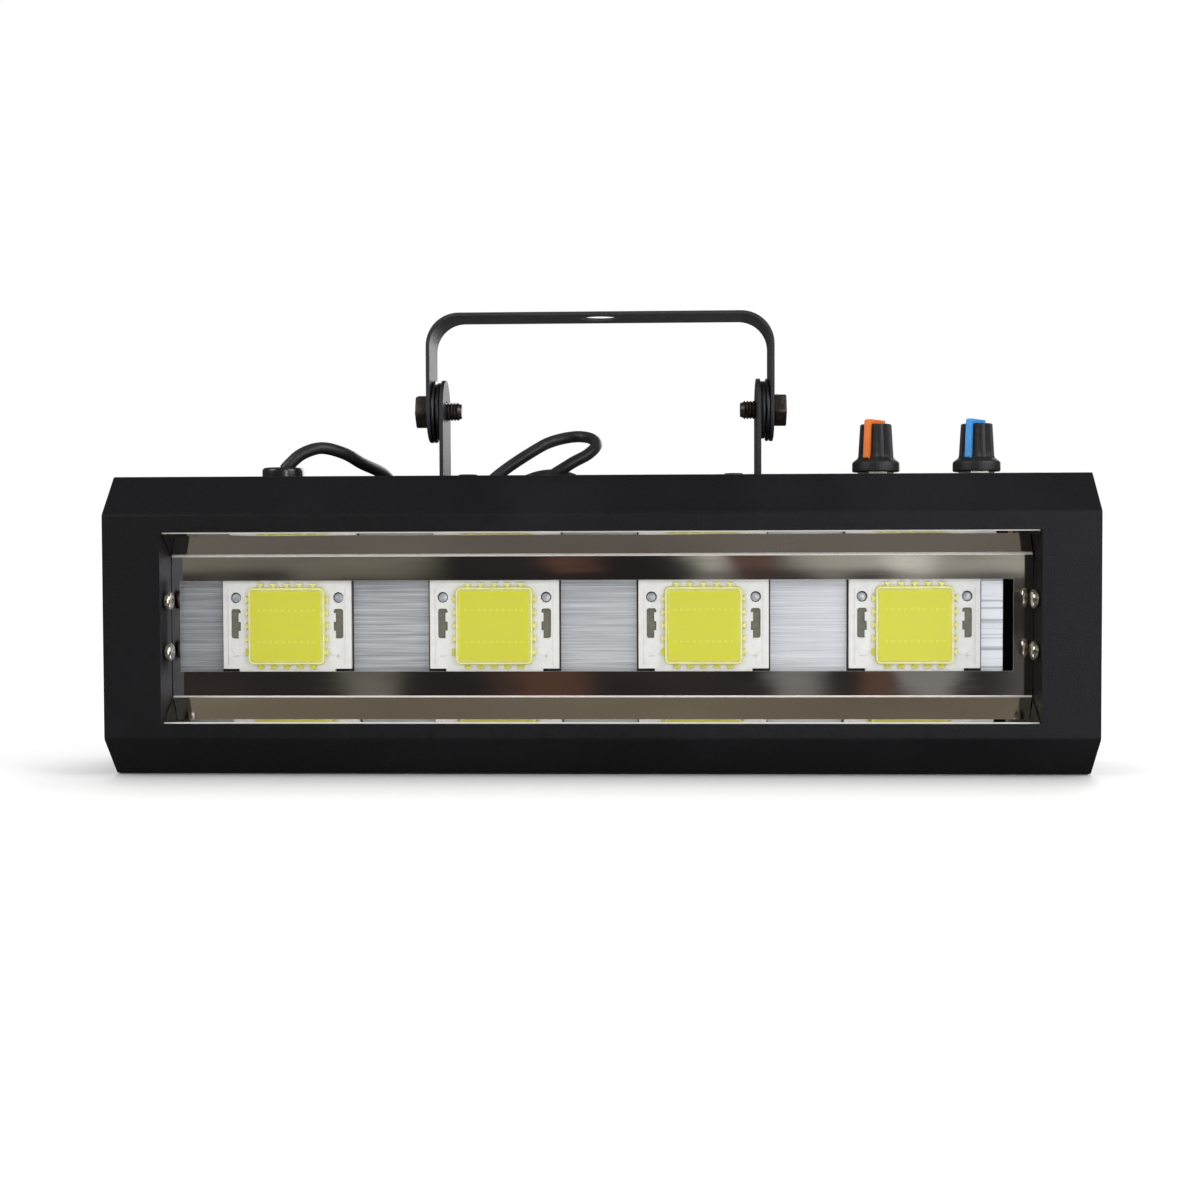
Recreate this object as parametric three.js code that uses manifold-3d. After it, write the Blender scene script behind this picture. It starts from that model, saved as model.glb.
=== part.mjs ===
// LED strobe light: a folded steel housing with four chip-on-board LED modules in a mirror
// reflector, two rotary controls, a mains lead and a tilting mounting yoke.
// Units are millimetres. X runs to the right, Y to the back, Z up. Inside the groups the front
// face is at y = 0; the whole light is moved so that the middle of its base is the origin.

import * as THREE from 'three';
import { mergeVertices } from 'three/addons/utils/BufferGeometryUtils.js';
import Module from 'manifold-3d';

const wasm = await Module();
wasm.setup();

// Clearance between neighbouring pieces, overrun of every cut, and welding distance.
const GAP = 0.3;
const OVERRUN = 1;
const WELD = 0.0001;

// Facets of round forms, of small ones, of a rounded corner, of a half circle and of a bend.
const ROUND = 20;
const SMALL_ROUND = 10;
const CORNER_STEPS = 2;
const HALF_ROUND = 10;
const BEND_STEPS = 2;

// Driving dimensions.

const housing = {
  width: 300,
  height: 92,
  depth: 64,
  chamfer: 12,
  sheet: 1.2,
  bend: 1.8,
  rearLip: 11,
};

const opening = {
  fromEnd: 17.5,
  fromEdge: 17,
  drop: 0.4,
  flangeDepth: 12,
};

const mirror = {
  sheet: 0.8,
  bend: 1.2,
  plateDepth: 12.4,
  plateMargin: 7.65,
  lip: 4,
  tabInset: 2.7,
  windowPlay: 2.8,
  windowFromLeft: 2.7,
  windowFromRight: 6,
  windowDrop: 0.35,
};

const panScrew = {
  headDiameter: 5.8,
  headHeight: 2.2,
  shank: 3,
  length: 6,
  spacing: 15.6,
  depthInFlange: 5.6,
};

const led = {
  count: 4,
  fromEnd: 35.75,
  plateWidth: 40,
  plateHeight: 33,
  plateThickness: 1.7,
  cornerRadius: 1,
  holeDiameter: 3.4,
  holeSpacing: 32,
  holeRise: 8.8,
  pocketWidth: 3,
  pocketHeight: 9.2,
  pocketDepth: 0.7,
  pocketRise: 0.7,
  notchWidth: 5,
  notchHeight: 3.2,
  emitterSize: 22.5,
  emitterRim: 1,
  emitterThickness: 1,
  emitterDish: 0.4,
  emitterCorner: 2,
};

const sink = {
  pastLeft: 1.5,
  shortOfRight: 8.5,
  margin: 9.5,
  base: 4,
  fins: 9,
  roomBehind: 3.6,
  finRoot: 2,
  finTip: 1.3,
};

const spacer = {
  acrossFlats: 5.5,
  spigot: 3,
  fromEnd: 12,
};

const yokeSize = {
  rise: 30.5,
  strap: 20,
  sheet: 1.2,
  bend: 10.5,
  clampHole: 12,
};

const pivot = {
  fromBack: 26,
  height: 21.6,
  thread: 6,
  threadPlay: 0.6,
  headFlats: 10,
  headHeight: 3.9,
  headChamfer: 0.6,
  threadEnd: 5,
};

const ear = {
  fromEnd: 99.1,
  foot: 16,
  sheet: 1.2,
  bend: 1.8,
  rivet: 3,
  rivetHead: 6,
  rivetHeadHeight: 0.8,
  rivetSpacing: 11,
};

const washerSize = {
  plainDiameter: 20,
  plainThickness: 0.9,
  frictionDiameter: 18.4,
  frictionThickness: 1.2,
};

const control = {
  speedFromEnd: 62,
  dimmerFromEnd: 30,
  bodyDiameter: 16.4,
  bodyHeight: 8,
  bushing: 7.4,
  bushingHeight: 3,
  shaft: 5.2,
  nutFlats: 10,
  nutThickness: 2,
};

const knobSize = {
  raise: 1.5,
  skirt: 15,
  skirtHeight: 2.9,
  ogeeHeight: 1.9,
  waist: 11.3,
  top: 9.9,
  height: 15.2,
  edge: 0.5,
  flutes: 13,
  fluteDepth: 0.7,
  recess: 12.6,
  recessDepth: 1.8,
  bore: 12.2,
  pointerWidth: 1.6,
  pointerRise: 1.2,
  pointerRoot: 3.6,
  pointerTail: 4.8,
  pointerTurn: THREE.MathUtils.degToRad(-36),
};

const gland = {
  fromEnd: 47,
  flange: 13.4,
  rise: 3.5,
  edge: 0.9,
  neck: 10.6,
  barb: 11.6,
  barbHeight: 3.4,
  barbChamfer: 1.2,
  tail: 6,
  tailDiameter: 8,
  mouth: 9.2,
  throat: 7,
  mouthDepth: 2.5,
};

const board = {
  fromLeft: 46,
  fromRight: 54,
  height: 58,
  thickness: 1.6,
  standOff: 6,
  standOffDiameter: 6,
  fromEdge: 5,
};

// Each part's share is its place along the board, from its left end.
const components = {
  terminal: { width: 15, height: 10, thickness: 10, screw: 3.2, screwDepth: 1, share: 0.08, rise: 18 },
  transformer: { width: 22, height: 24, thickness: 13, core: 6, flange: 2, share: 0.26 },
  capacitor: { diameter: 12, length: 24, groove: 2.5, grooveDepth: 0.4, edge: 0.8, share: 0.45, rise: 10 },
  rectifier: { width: 15, height: 11, thickness: 4, notch: 3, share: 0.45, drop: 12 },
  transistor: { width: 26, height: 20, base: 2, fins: 5, finDepth: 10, finThickness: 1.4, share: 0.74 },
};

const controlBoard = {
  margin: 9,
  depth: 24,
  thickness: 1.6,
};

const vents = {
  slotWidth: 3,
  slotHeight: 22,
  pitch: 7,
  backGroups: 2,
  backSlots: 8,
  backGroupOffset: 82,
  sideSlots: 4,
};

const rearScrew = {
  fromEnd: 24,
  fromEdge: 6.5,
  length: 7,
};

// The mains lead: a thin two-core lead. Its free route is a list of places chosen by hand, from
// the bushing over the top panel, in two bights behind the housing and down to the floor.

const lead = {
  diameter: 4,
  sides: 8,
  steps: 79,
  tailSteps: 18,
};

// Its places are measured from the bushing's axis and the back panel, and up from the top panel
// or from the floor.
const OVER_THE_TOP = [
  [0.4, -26.0, 3.1], [2.1, -25.8, 5.0], [5.6, -24.8, 8.2], [11.4, -22.2, 10.4],
  [18.2, -17.4, 8.9], [22.8, -11.4, 6.0], [29.2, 1.8, 1.9], [31.8, 6.0, -4.0],
  [33.8, 6.4, -14.4], [39.4, 6.4, -24.4], [49.0, 6.6, -28.8], [58.4, 7.2, -25.0],
  [68.8, 8.8, -6.6], [75.0, 9.6, 0.0], [83.4, 10.0, 2.6], [91.6, 10.2, 1.4],
  [98.6, 10.6, -3.4], [102.4, 11.6, -12.4], [100.0, 13.2, -22.8], [91.4, 14.6, -31.2],
  [80.0, 15.4, -34.6], [68.2, 15.2, -31.2], [60.0, 14.4, -22.0], [57.8, 13.4, -11.0],
  [61.6, 13.0, -1.4], [79.4, 17.4, 12.2], [85.5, 21.8, 15.3], [92.8, 22.4, 16.6],
  [98.0, 19.1, 15.7], [100.1, 13.2, 13.1], [97.3, 7.4, 9.5], [91.6, 4.8, 6.2],
  [78.8, 4.2, -3.4], [74.4, 4.2, -18.0],
];
const TO_THE_FLOOR = [
  [73.8, 4.4, 44.0], [75.6, 7.6, 18.6], [76.8, 18.0, 5.2],
];

const coil = {
  middleRadius: 23,
  turnsPerLayer: 3,
  turnGap: 0.5,
  layerGap: 0.5,
  stepsPerTurn: 24,
  sides: 6,
  behind: 38,
};

const tie = {
  thickness: 0.8,
  width: 6,
  edge: 0.6,
  play: 0.6,
};

const plug = {
  behind: 22,
  sleeveLength: 15,
  sleeveStart: 7,
  sleeveEnd: 9.4,
  shoulder: 9,
  body: 19,
  width: 35,
  thickness: 13.7,
  corner: 6.4,
  faceShare: 0.94,
  pin: 4,
  pinLength: 19,
  pinSpacing: 19,
  pinSocket: 3,
  tail: 40,
  leadRiseShare: 0.8,
};

// Heights and places that several pieces share.

const bodyMiddle = housing.height / 2;
const shellDepth = housing.depth - housing.sheet - GAP;
const underTop = housing.height - housing.sheet;
const halfWidth = housing.width / 2;
const openingReach = halfWidth - opening.fromEnd;
const openingHeight = housing.height - 2 * opening.fromEdge;
const windowMiddle = bodyMiddle - opening.drop;
const ledWindowHeight = led.emitterSize + 2 * mirror.windowPlay;
const mirrorPlateHeight = ledWindowHeight + 2 * mirror.plateMargin;
const mirrorBack = mirror.plateDepth + mirror.sheet;
const ledPitch = 2 * (openingReach - led.fromEnd) / (led.count - 1);
const ledFront = mirrorBack + GAP;
const ledRow = bodyMiddle - mirror.windowDrop;
const sinkLeft = openingReach + sink.pastLeft;
const sinkRight = openingReach - sink.shortOfRight;
const sinkHeight = led.plateHeight + 2 * sink.margin;
const sinkFront = ledFront + led.plateThickness + GAP;
const sinkBack = sinkFront + sink.base;
const boardLeft = halfWidth - board.fromLeft;
const boardRight = halfWidth - board.fromRight;
const boardFront = housing.depth - housing.sheet - board.standOff - GAP - board.thickness;
const partBack = boardFront - GAP;
const finDepth = partBack - components.transformer.thickness - sink.roomBehind - sinkBack;
const pivotDepth = housing.depth - pivot.fromBack;
const pivotRise = housing.height + pivot.height;
const earOuter = halfWidth - ear.fromEnd;
const yokeInner = earOuter + washerSize.frictionThickness + washerSize.plainThickness + 3 * GAP;
const yokeOuter = yokeInner + yokeSize.sheet;
const speedX = halfWidth - control.speedFromEnd;
const dimmerX = halfWidth - control.dimmerFromEnd;
const glandX = gland.fromEnd - halfWidth;
const mouthFloor = housing.height + GAP + gland.rise - gland.mouthDepth;
const leadRadius = lead.diameter / 2;
const leadRoute = [
  ...OVER_THE_TOP.map(([x, y, z]) => [glandX + x, housing.depth + y, housing.height + z]),
  ...TO_THE_FLOOR.map(([x, y, z]) => [glandX + x, housing.depth + y, z]),
];
const coilDepth = housing.depth + coil.behind;
const plugDepth = housing.depth + plug.behind;

// Finishes.

function finish(color, roughness, metalness) {
  return new THREE.MeshStandardMaterial({ color, roughness, metalness });
}
const powderCoat = finish(0x1a1b1e, 0.62, 0.1);
const polished = finish(0xb9b6ad, 0.08, 1);
const aluminium = finish(0xa9afb6, 0.38, 1);
const whiteBoard = finish(0xdcdcd8, 0.45, 0);
const phosphor = finish(0xd2d246, 0.35, 0);
const nickel = finish(0xc2beb4, 0.25, 1);
const blackSteel = finish(0x2a2826, 0.42, 0.8);
const blackNylon = finish(0x17181a, 0.5, 0);
const knobBlack = finish(0x202124, 0.6, 0);
const orange = finish(0xe8772e, 0.5, 0);
const blue = finish(0x3d95dd, 0.5, 0);
const leadBlack = finish(0x1b1c1f, 0.48, 0);
const boardGreen = finish(0x1f5a3a, 0.5, 0);
const beige = finish(0xd8cfa8, 0.6, 0);
const copperBrown = finish(0x8a5a34, 0.45, 0.3);
const terminalGreen = finish(0x3f8f5c, 0.5, 0);

// Making, joining and cutting closed bodies.

function toSolid(geometry) {
  const bare = geometry.clone();
  bare.deleteAttribute('normal');
  bare.deleteAttribute('uv');
  const merged = mergeVertices(bare, WELD);
  return new wasm.Manifold(new wasm.Mesh({
    numProp: 3,
    vertProperties: Float32Array.from(merged.attributes.position.array),
    triVerts: Uint32Array.from(merged.index.array),
  }));
}

function toGeometry(solid) {
  const mesh = solid.getMesh();
  const geometry = new THREE.BufferGeometry();
  geometry.setAttribute('position', new THREE.BufferAttribute(mesh.vertProperties, 3));
  geometry.setIndex(new THREE.BufferAttribute(mesh.triVerts, 1));
  geometry.computeVertexNormals();
  return geometry;
}

function combined(base, others, operation) {
  return toGeometry(others.reduce((solid, other) => solid[operation](toSolid(other)), toSolid(base)));
}
const cut = (base, ...tools) => combined(base, tools, 'subtract');
const join = (base, ...parts) => combined(base, parts, 'add');
const common = (base, ...parts) => combined(base, parts, 'intersect');

function box([x0, x1], [y0, y1], [z0, z1]) {
  const geometry = new THREE.BoxGeometry(x1 - x0, y1 - y0, z1 - z0);
  return geometry.translate((x0 + x1) / 2, (y0 + y1) / 2, (z0 + z1) / 2);
}

// Two limits in rising order, and a pair of limits about a middle.
const span = (a, b) => [Math.min(a, b), Math.max(a, b)];
const about = (middle, reach) => [middle - reach, middle + reach];

const X_AXIS = new THREE.Vector3(1, 0, 0);
const Y_AXIS = new THREE.Vector3(0, 1, 0);
const Z_AXIS = new THREE.Vector3(0, 0, 1);

function extruded(shape, length, curveSegments = CORNER_STEPS) {
  return new THREE.ExtrudeGeometry(shape, { depth: length, bevelEnabled: false, steps: 1, curveSegments });
}

// A shape drawn as (y, z), run along X from x0 to x1.
function alongX(shape, x0, x1, curveSegments) {
  const turn = new THREE.Matrix4().makeBasis(Y_AXIS, Z_AXIS, X_AXIS);
  return extruded(shape, x1 - x0, curveSegments).applyMatrix4(turn).translate(x0, 0, 0);
}

// A shape drawn as (x, z), run along Y from y0 to y1.
function alongY(shape, y0, y1) {
  const turn = new THREE.Matrix4().makeBasis(X_AXIS, Z_AXIS, Y_AXIS.clone().negate());
  return extruded(shape, y1 - y0).applyMatrix4(turn).translate(0, y1, 0);
}

// A shape drawn as (x, y), run up Z from z0 to z1.
const alongZ = (shape, z0, z1) => extruded(shape, z1 - z0).translate(0, 0, z0);

// Round bars between two stations on each axis.
function barZ(diameter, z0, z1, segments = ROUND) {
  const geometry = new THREE.CylinderGeometry(diameter / 2, diameter / 2, z1 - z0, segments);
  return geometry.rotateX(Math.PI / 2).translate(0, 0, (z0 + z1) / 2);
}
const barY = (diameter, y0, y1, segments = ROUND) => barZ(diameter, -y1, -y0, segments).rotateX(Math.PI / 2);
const barX = (diameter, x0, x1, segments = ROUND) => barZ(diameter, x0, x1, segments).rotateY(Math.PI / 2);

// A profile of (radius, height) turned about Z.
function turned(profile, segments = ROUND) {
  const points = profile.map(([radius, height]) => new THREE.Vector2(radius, height));
  return new THREE.LatheGeometry(points, segments).rotateX(Math.PI / 2);
}

// A hexagon across its flats, with two flats facing up and down the second axis.
function hexagon(acrossFlats) {
  const radius = acrossFlats / 2 / Math.cos(Math.PI / 6);
  const middle = new THREE.Vector2();
  const corner = (k) => new THREE.Vector2(radius, 0).rotateAround(middle, k * Math.PI / 3);
  return new THREE.Shape([0, 1, 2, 3, 4, 5].map(corner));
}

function roundedRectangle(width, height, radius) {
  const w = width / 2;
  const h = height / 2;
  const shape = new THREE.Shape();
  shape.moveTo(radius - w, -h);
  shape.lineTo(w - radius, -h).absarc(w - radius, radius - h, radius, -Math.PI / 2, 0);
  shape.lineTo(w, h - radius).absarc(w - radius, h - radius, radius, 0, Math.PI / 2);
  shape.lineTo(radius - w, h).absarc(radius - w, h - radius, radius, Math.PI / 2, Math.PI);
  shape.lineTo(-w, radius - h).absarc(radius - w, radius - h, radius, Math.PI, 3 * Math.PI / 2);
  return shape;
}

const leftOf = (direction) => new THREE.Vector2(-direction.y, direction.x);
const heading = (from, to) => to.clone().sub(from).normalize();
const vectors = (points) => points.map(([x, y]) => new THREE.Vector2(x, y));

// The section of a folded sheet. The line is one face of the sheet, which lies to its left.
function foldedSheet(points, thickness, bendRadius) {
  const line = vectors(points);
  const face = [];
  const back = [];
  const put = (point, normal) => {
    face.push(point.clone());
    back.push(point.clone().addScaledVector(normal, thickness));
  };
  put(line[0], leftOf(heading(line[0], line[1])));
  for (let i = 1; i < line.length - 1; i += 1) {
    const before = heading(line[i - 1], line[i]);
    const turn = before.angle() - heading(line[i], line[i + 1]).angle();
    const bend = Math.atan2(-Math.sin(turn), Math.cos(turn));
    const radius = bend > 0 ? bendRadius : bendRadius - thickness;
    const start = line[i].clone().addScaledVector(before, -radius * Math.tan(Math.abs(bend) / 2));
    const centre = start.clone().addScaledVector(leftOf(before), radius * Math.sign(bend));
    for (let k = 0; k <= BEND_STEPS; k += 1) {
      const angle = bend * k / BEND_STEPS;
      put(start.clone().rotateAround(centre, angle), leftOf(before).rotateAround(new THREE.Vector2(), angle));
    }
  }
  const last = line.length - 1;
  put(line[last], leftOf(heading(line[last - 1], line[last])));
  return new THREE.Shape([...face, ...back.reverse()]);
}

// The same line of corners moved to its left, with mitred corners.
function movedLeft(points, distance) {
  const line = vectors(points);
  return line.map((point, i) => {
    const before = leftOf(heading(line[Math.max(i - 1, 0)], line[Math.max(i, 1)]));
    const end = line.length - 1;
    const after = leftOf(heading(line[Math.min(i, end - 1)], line[Math.min(i + 1, end)]));
    const mitre = before.clone().add(after).multiplyScalar(distance / (1 + before.dot(after)));
    return [point.x + mitre.x, point.y + mitre.y];
  });
}

// A closed skin over rings of equally many points, with flat ends.
function lofted(rings) {
  const count = rings[0].length;
  const positions = rings.flat().flatMap((point) => point.toArray());
  const index = [];
  rings.slice(1).forEach((_, k) => {
    for (let i = 0; i < count; i += 1) {
      const a = k * count + i;
      const b = k * count + (i + 1) % count;
      index.push(a, b, b + count, a, b + count, a + count);
    }
  });
  const top = (rings.length - 1) * count;
  for (let i = 1; i < count - 1; i += 1) {
    index.push(0, i + 1, i, top, top + i, top + i + 1);
  }
  const geometry = new THREE.BufferGeometry();
  geometry.setAttribute('position', new THREE.Float32BufferAttribute(positions, 3));
  geometry.setIndex(index);
  return geometry;
}

// A round cord along a curve.
function cord(curve, diameter, sides, steps) {
  const middle = new THREE.Vector2();
  const angle = (k) => (2 * k + 1) * Math.PI / sides;
  const corner = (_, k) => new THREE.Vector2(diameter / 2, 0).rotateAround(middle, angle(k));
  const section = new THREE.Shape(Array.from({ length: sides }, corner));
  return new THREE.ExtrudeGeometry(section, { steps, extrudePath: curve, bevelEnabled: false });
}

const light = new THREE.Group();
light.position.y = -housing.depth / 2;

function place(group, name, geometry, material) {
  const mesh = new THREE.Mesh(geometry, material);
  mesh.name = name;
  group.add(mesh);
  return mesh;
}

// Places of the fasteners and of the openings in the top panel.

const crossed = (columns, rows) => columns.flatMap((x) => rows.map((z) => ({ x, z })));
const lipScrews = crossed(
  about(0, halfWidth - rearScrew.fromEnd),
  about(bodyMiddle, bodyMiddle - rearScrew.fromEdge),
);
const sinkSpacers = crossed(
  [spacer.fromEnd - sinkLeft, sinkRight - spacer.fromEnd],
  about(ledRow, finChannel()),
);
const boardStandOffs = crossed(
  [board.fromEdge - boardLeft, boardRight - board.fromEdge],
  about(bodyMiddle, board.height / 2 - board.fromEdge),
);
const reflectorScrewLevels = about(bodyMiddle, panScrew.spacing / 2);
const rivetPlaces = about(pivotDepth, ear.rivetSpacing / 2);
const rivetReach = earOuter - ear.sheet - (ear.foot - ear.sheet) / 2;

// The middle of the channel next to the outermost fin, measured from the middle of the sink.
function finChannel() {
  return (sinkHeight - sink.finRoot) / 2 * (1 - 2 / (sink.fins - 1));
}

// The hole of a reflector screw, right through from side to side.
function flangeHole(z) {
  const bar = barX(panScrew.shank + 2 * GAP, -halfWidth, halfWidth, SMALL_ROUND);
  return bar.translate(0, panScrew.depthInFlange, z);
}

// The front shell: one folded sheet with the window, its side flanges and the rear lips.

function shellLine() {
  const { height, chamfer, rearLip } = housing;
  return [
    [shellDepth, height - rearLip], [shellDepth, height], [chamfer, height], [0, height - chamfer],
    [0, chamfer], [chamfer, 0], [shellDepth, 0], [shellDepth, rearLip],
  ];
}

function frontShell() {
  const { sheet, bend } = housing;
  const sheetForm = alongX(foldedSheet(shellLine(), sheet, bend), -halfWidth, halfWidth);
  const w = openingReach;
  const h = openingHeight / 2;
  const flangeLevels = [windowMiddle - h, windowMiddle + h];
  const window = box([-w, w], [-OVERRUN, sheet + OVERRUN], flangeLevels);
  const flanges = [-1, 1].map((side) => (
    box(span(side * w, side * (w + sheet)), [sheet / 2, opening.flangeDepth], flangeLevels)));
  const notches = [-1, 1].map((side) => box(
    span(side * (halfWidth - sheet - GAP - bend), side * (halfWidth + OVERRUN)),
    [shellDepth - bend - GAP, shellDepth + OVERRUN],
    [-OVERRUN, housing.height + OVERRUN],
  ));
  const hole = panScrew.shank + 2 * GAP;
  const flangeHoles = reflectorScrewLevels.map((z) => flangeHole(z));
  const lipHoles = lipScrews.map(({ x, z }) => (
    barY(hole, shellDepth - sheet - OVERRUN, shellDepth + OVERRUN, SMALL_ROUND).translate(x, 0, z)));
  const throughTop = [underTop - OVERRUN, housing.height + OVERRUN];
  const earSlots = [-1, 1].map((side) => box(
    span(side * (earOuter - ear.bend - GAP), side * (earOuter + GAP)),
    about(pivotDepth, yokeSize.strap / 2 + GAP),
    throughTop,
  ));
  const topHole = (diameter, x, y) => barZ(diameter + 2 * GAP, ...throughTop).translate(x, y, 0);
  const rivetHoles = [-1, 1].flatMap((side) => (
    rivetPlaces.map((y) => topHole(ear.rivet, side * rivetReach, y))));
  const controlHoles = [speedX, dimmerX].map((x) => topHole(control.bushing, x, pivotDepth));
  const glandHole = topHole(gland.neck, glandX, pivotDepth);
  const body = join(cut(sheetForm, window), ...flanges);
  const holes = [...flangeHoles, ...lipHoles, ...rivetHoles, ...controlHoles, glandHole];
  return cut(body, ...notches, ...earSlots, ...holes);
}

// The rear cover: the back panel with both end walls folded forward inside the shell's section.

function rearCover() {
  const { sheet, bend, height, depth, rearLip } = housing;
  const inside = movedLeft(shellLine().slice(1, -1), sheet + GAP);
  const wallFront = inside[2][0];
  const trayLine = [[halfWidth, wallFront], [halfWidth, depth], [-halfWidth, depth], [-halfWidth, wallFront]];
  const tray = foldedSheet(trayLine, sheet, bend);
  const panelForm = box([-halfWidth, halfWidth], [shellDepth + GAP, depth + OVERRUN], [0, height]);
  const beyond = depth + OVERRUN;
  const octagonLine = [[beyond, inside[0][1]], ...inside.slice(1, -1), [beyond, inside.at(-1)[1]]];
  const octagon = new THREE.Shape(vectors(octagonLine));
  const outline = join(alongX(octagon, -halfWidth - OVERRUN, halfWidth + OVERRUN), panelForm);
  const form = common(alongZ(tray, 0, height), outline);
  const slot = roundedRectangle(vents.slotWidth, vents.slotHeight, vents.slotWidth / 2 - WELD);
  const row = (count, middle) => Array.from({ length: count }, (_, k) => (
    middle + (k - (count - 1) / 2) * vents.pitch));
  const backPlaces = about(0, vents.backGroupOffset).flatMap((middle) => row(vents.backSlots, middle));
  const backSlots = backPlaces.map((x) => (
    alongY(slot, depth - sheet - OVERRUN, beyond).translate(x, 0, bodyMiddle)));
  const sideSlots = row(vents.sideSlots, pivotDepth).map((y) => (
    alongX(slot, -halfWidth - OVERRUN, halfWidth + OVERRUN).translate(0, y, bodyMiddle)));
  const hole = panScrew.shank + 2 * GAP;
  const screwHoles = lipScrews.map(({ x, z }) => (
    barY(hole, depth - sheet - OVERRUN, beyond, SMALL_ROUND).translate(x, 0, z)));
  const standOffEnds = [depth - sheet - board.standOff, depth - sheet / 2];
  const standOffs = boardStandOffs.map(({ x, z }) => (
    barY(board.standOffDiameter, ...standOffEnds, SMALL_ROUND).translate(x, 0, z)));
  return join(cut(form, ...backSlots, ...sideSlots, ...screwHoles), ...standOffs);
}

// The mirror reflector: lips behind the front panel, slanted walls, a back plate with the LED
// window and an end tab on each side for the screws.

function reflector() {
  const lipDepth = housing.sheet + GAP;
  const h = openingHeight / 2;
  const b = mirrorPlateHeight / 2;
  const section = foldedSheet([
    [lipDepth, windowMiddle + h + mirror.lip],
    [lipDepth, windowMiddle + h],
    [mirror.plateDepth, windowMiddle + b],
    [mirror.plateDepth, windowMiddle - b],
    [lipDepth, windowMiddle - h],
    [lipDepth, windowMiddle - h - mirror.lip],
  ], mirror.sheet, mirror.bend);
  const channelReach = openingReach - GAP;
  const channel = alongX(section, -channelReach, channelReach);
  const tabReach = openingReach + housing.sheet + GAP + mirror.sheet;
  const tabHalf = mirrorPlateHeight / 2 - mirror.tabInset;
  const tabs = foldedSheet([
    [tabReach, lipDepth + GAP], [tabReach, mirrorBack], [-tabReach, mirrorBack], [-tabReach, lipDepth + GAP],
  ], mirror.sheet, mirror.bend);
  const tray = alongZ(tabs, windowMiddle - tabHalf, windowMiddle + tabHalf);
  const ledWindow = box(
    [mirror.windowFromLeft - openingReach, openingReach - mirror.windowFromRight],
    [mirror.plateDepth - OVERRUN, mirrorBack + OVERRUN],
    about(ledRow, ledWindowHeight / 2),
  );
  const tabHoles = reflectorScrewLevels.map((z) => flangeHole(z));
  return cut(join(channel, tray), ledWindow, ...tabHoles);
}

// A pan-head screw with its head at the origin, pointing down Z.
function panHeadScrew(length) {
  const { headDiameter, headHeight, shank } = panScrew;
  const r = headDiameter / 2;
  return turned([
    [0, -length], [shank / 2, -length], [shank / 2, 0], [r, 0], [r, headHeight / 2],
    [r * Math.cos(Math.PI / 4), headHeight * (1 + Math.sin(Math.PI / 4)) / 2], [0, headHeight],
  ], SMALL_ROUND);
}

// The heat sink: an extrusion with tapered fins. Beside the outermost fins one place is left
// free on each side, as the channel for the spacers.

function heatSink() {
  const bottom = ledRow - sinkHeight / 2;
  const pitch = (sinkHeight - sink.finRoot) / (sink.fins - 1);
  const reach = sinkBack + finDepth;
  const places = Array.from({ length: sink.fins }, (_, k) => k).filter((k) => k !== 1 && k !== sink.fins - 2);
  const fin = (k) => {
    const middle = bottom + sink.finRoot / 2 + k * pitch;
    const [rootLow, rootHigh] = about(middle, sink.finRoot / 2);
    const [tipLow, tipHigh] = about(middle, sink.finTip / 2);
    return [[sinkBack, rootLow], [reach, tipLow], [reach, tipHigh], [sinkBack, rootHigh]];
  };
  const outline = [[sinkFront, bottom], ...places.flatMap(fin), [sinkFront, bottom + sinkHeight]];
  const section = new THREE.Shape(vectors(outline));
  const holes = sinkSpacers.map(({ x, z }) => (
    barY(spacer.spigot + 2 * GAP, sinkFront - OVERRUN, sinkBack + OVERRUN, SMALL_ROUND).translate(x, 0, z)));
  return cut(alongX(section, -sinkLeft, sinkRight), ...holes);
}

function sinkSpacer() {
  const hexagonal = alongY(hexagon(spacer.acrossFlats), sinkBack + GAP, housing.depth - housing.sheet - GAP);
  return join(hexagonal, barY(spacer.spigot, sinkFront + GAP, sinkBack + OVERRUN, SMALL_ROUND));
}

// One LED module: a white plate with screw holes, solder pockets and cut corners, and the
// emitter with its rim and dished phosphor. Both are made round the middle of the emitter.

function ledPlate() {
  const { plateWidth, plateHeight, plateThickness, holeDiameter } = led;
  const back = ledFront + plateThickness;
  const aside = led.holeSpacing / 2;
  const drilled = [ledFront - OVERRUN, back + OVERRUN];
  const outline = alongY(roundedRectangle(plateWidth, plateHeight, led.cornerRadius), ledFront, back);
  const mirrored = (make) => [-1, 1].map(make);
  const holes = mirrored((side) => (
    barY(holeDiameter, ...drilled, SMALL_ROUND).translate(side * aside, 0, led.holeRise)));
  const pockets = mirrored((side) => alongY(
    roundedRectangle(led.pocketWidth, led.pocketHeight, led.pocketWidth / 4),
    ledFront - OVERRUN,
    ledFront + led.pocketDepth,
  ).translate(side * aside, 0, led.pocketRise));
  const notches = mirrored((side) => box(
    span(side * (plateWidth / 2 + OVERRUN), side * (plateWidth / 2 - led.notchWidth)),
    drilled,
    [-plateHeight / 2 - OVERRUN, led.notchHeight - plateHeight / 2],
  ));
  return cut(outline, ...holes, ...pockets, ...notches);
}

function ledEmitter() {
  const { emitterSize, emitterRim, emitterThickness, emitterDish, emitterCorner } = led;
  const back = ledFront - GAP;
  const front = back - emitterThickness;
  const body = alongY(roundedRectangle(emitterSize, emitterSize, emitterCorner), front, back);
  const inner = emitterSize - 2 * emitterRim;
  const outline = roundedRectangle(inner, inner, emitterCorner / 2);
  const dish = alongY(outline, front - OVERRUN, front + emitterDish);
  return cut(body, dish);
}

// The yoke, made round the bolt axis: a strap bent into a U, with round leg ends, the bolt
// holes and the clamp hole in the middle of the top.

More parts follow.
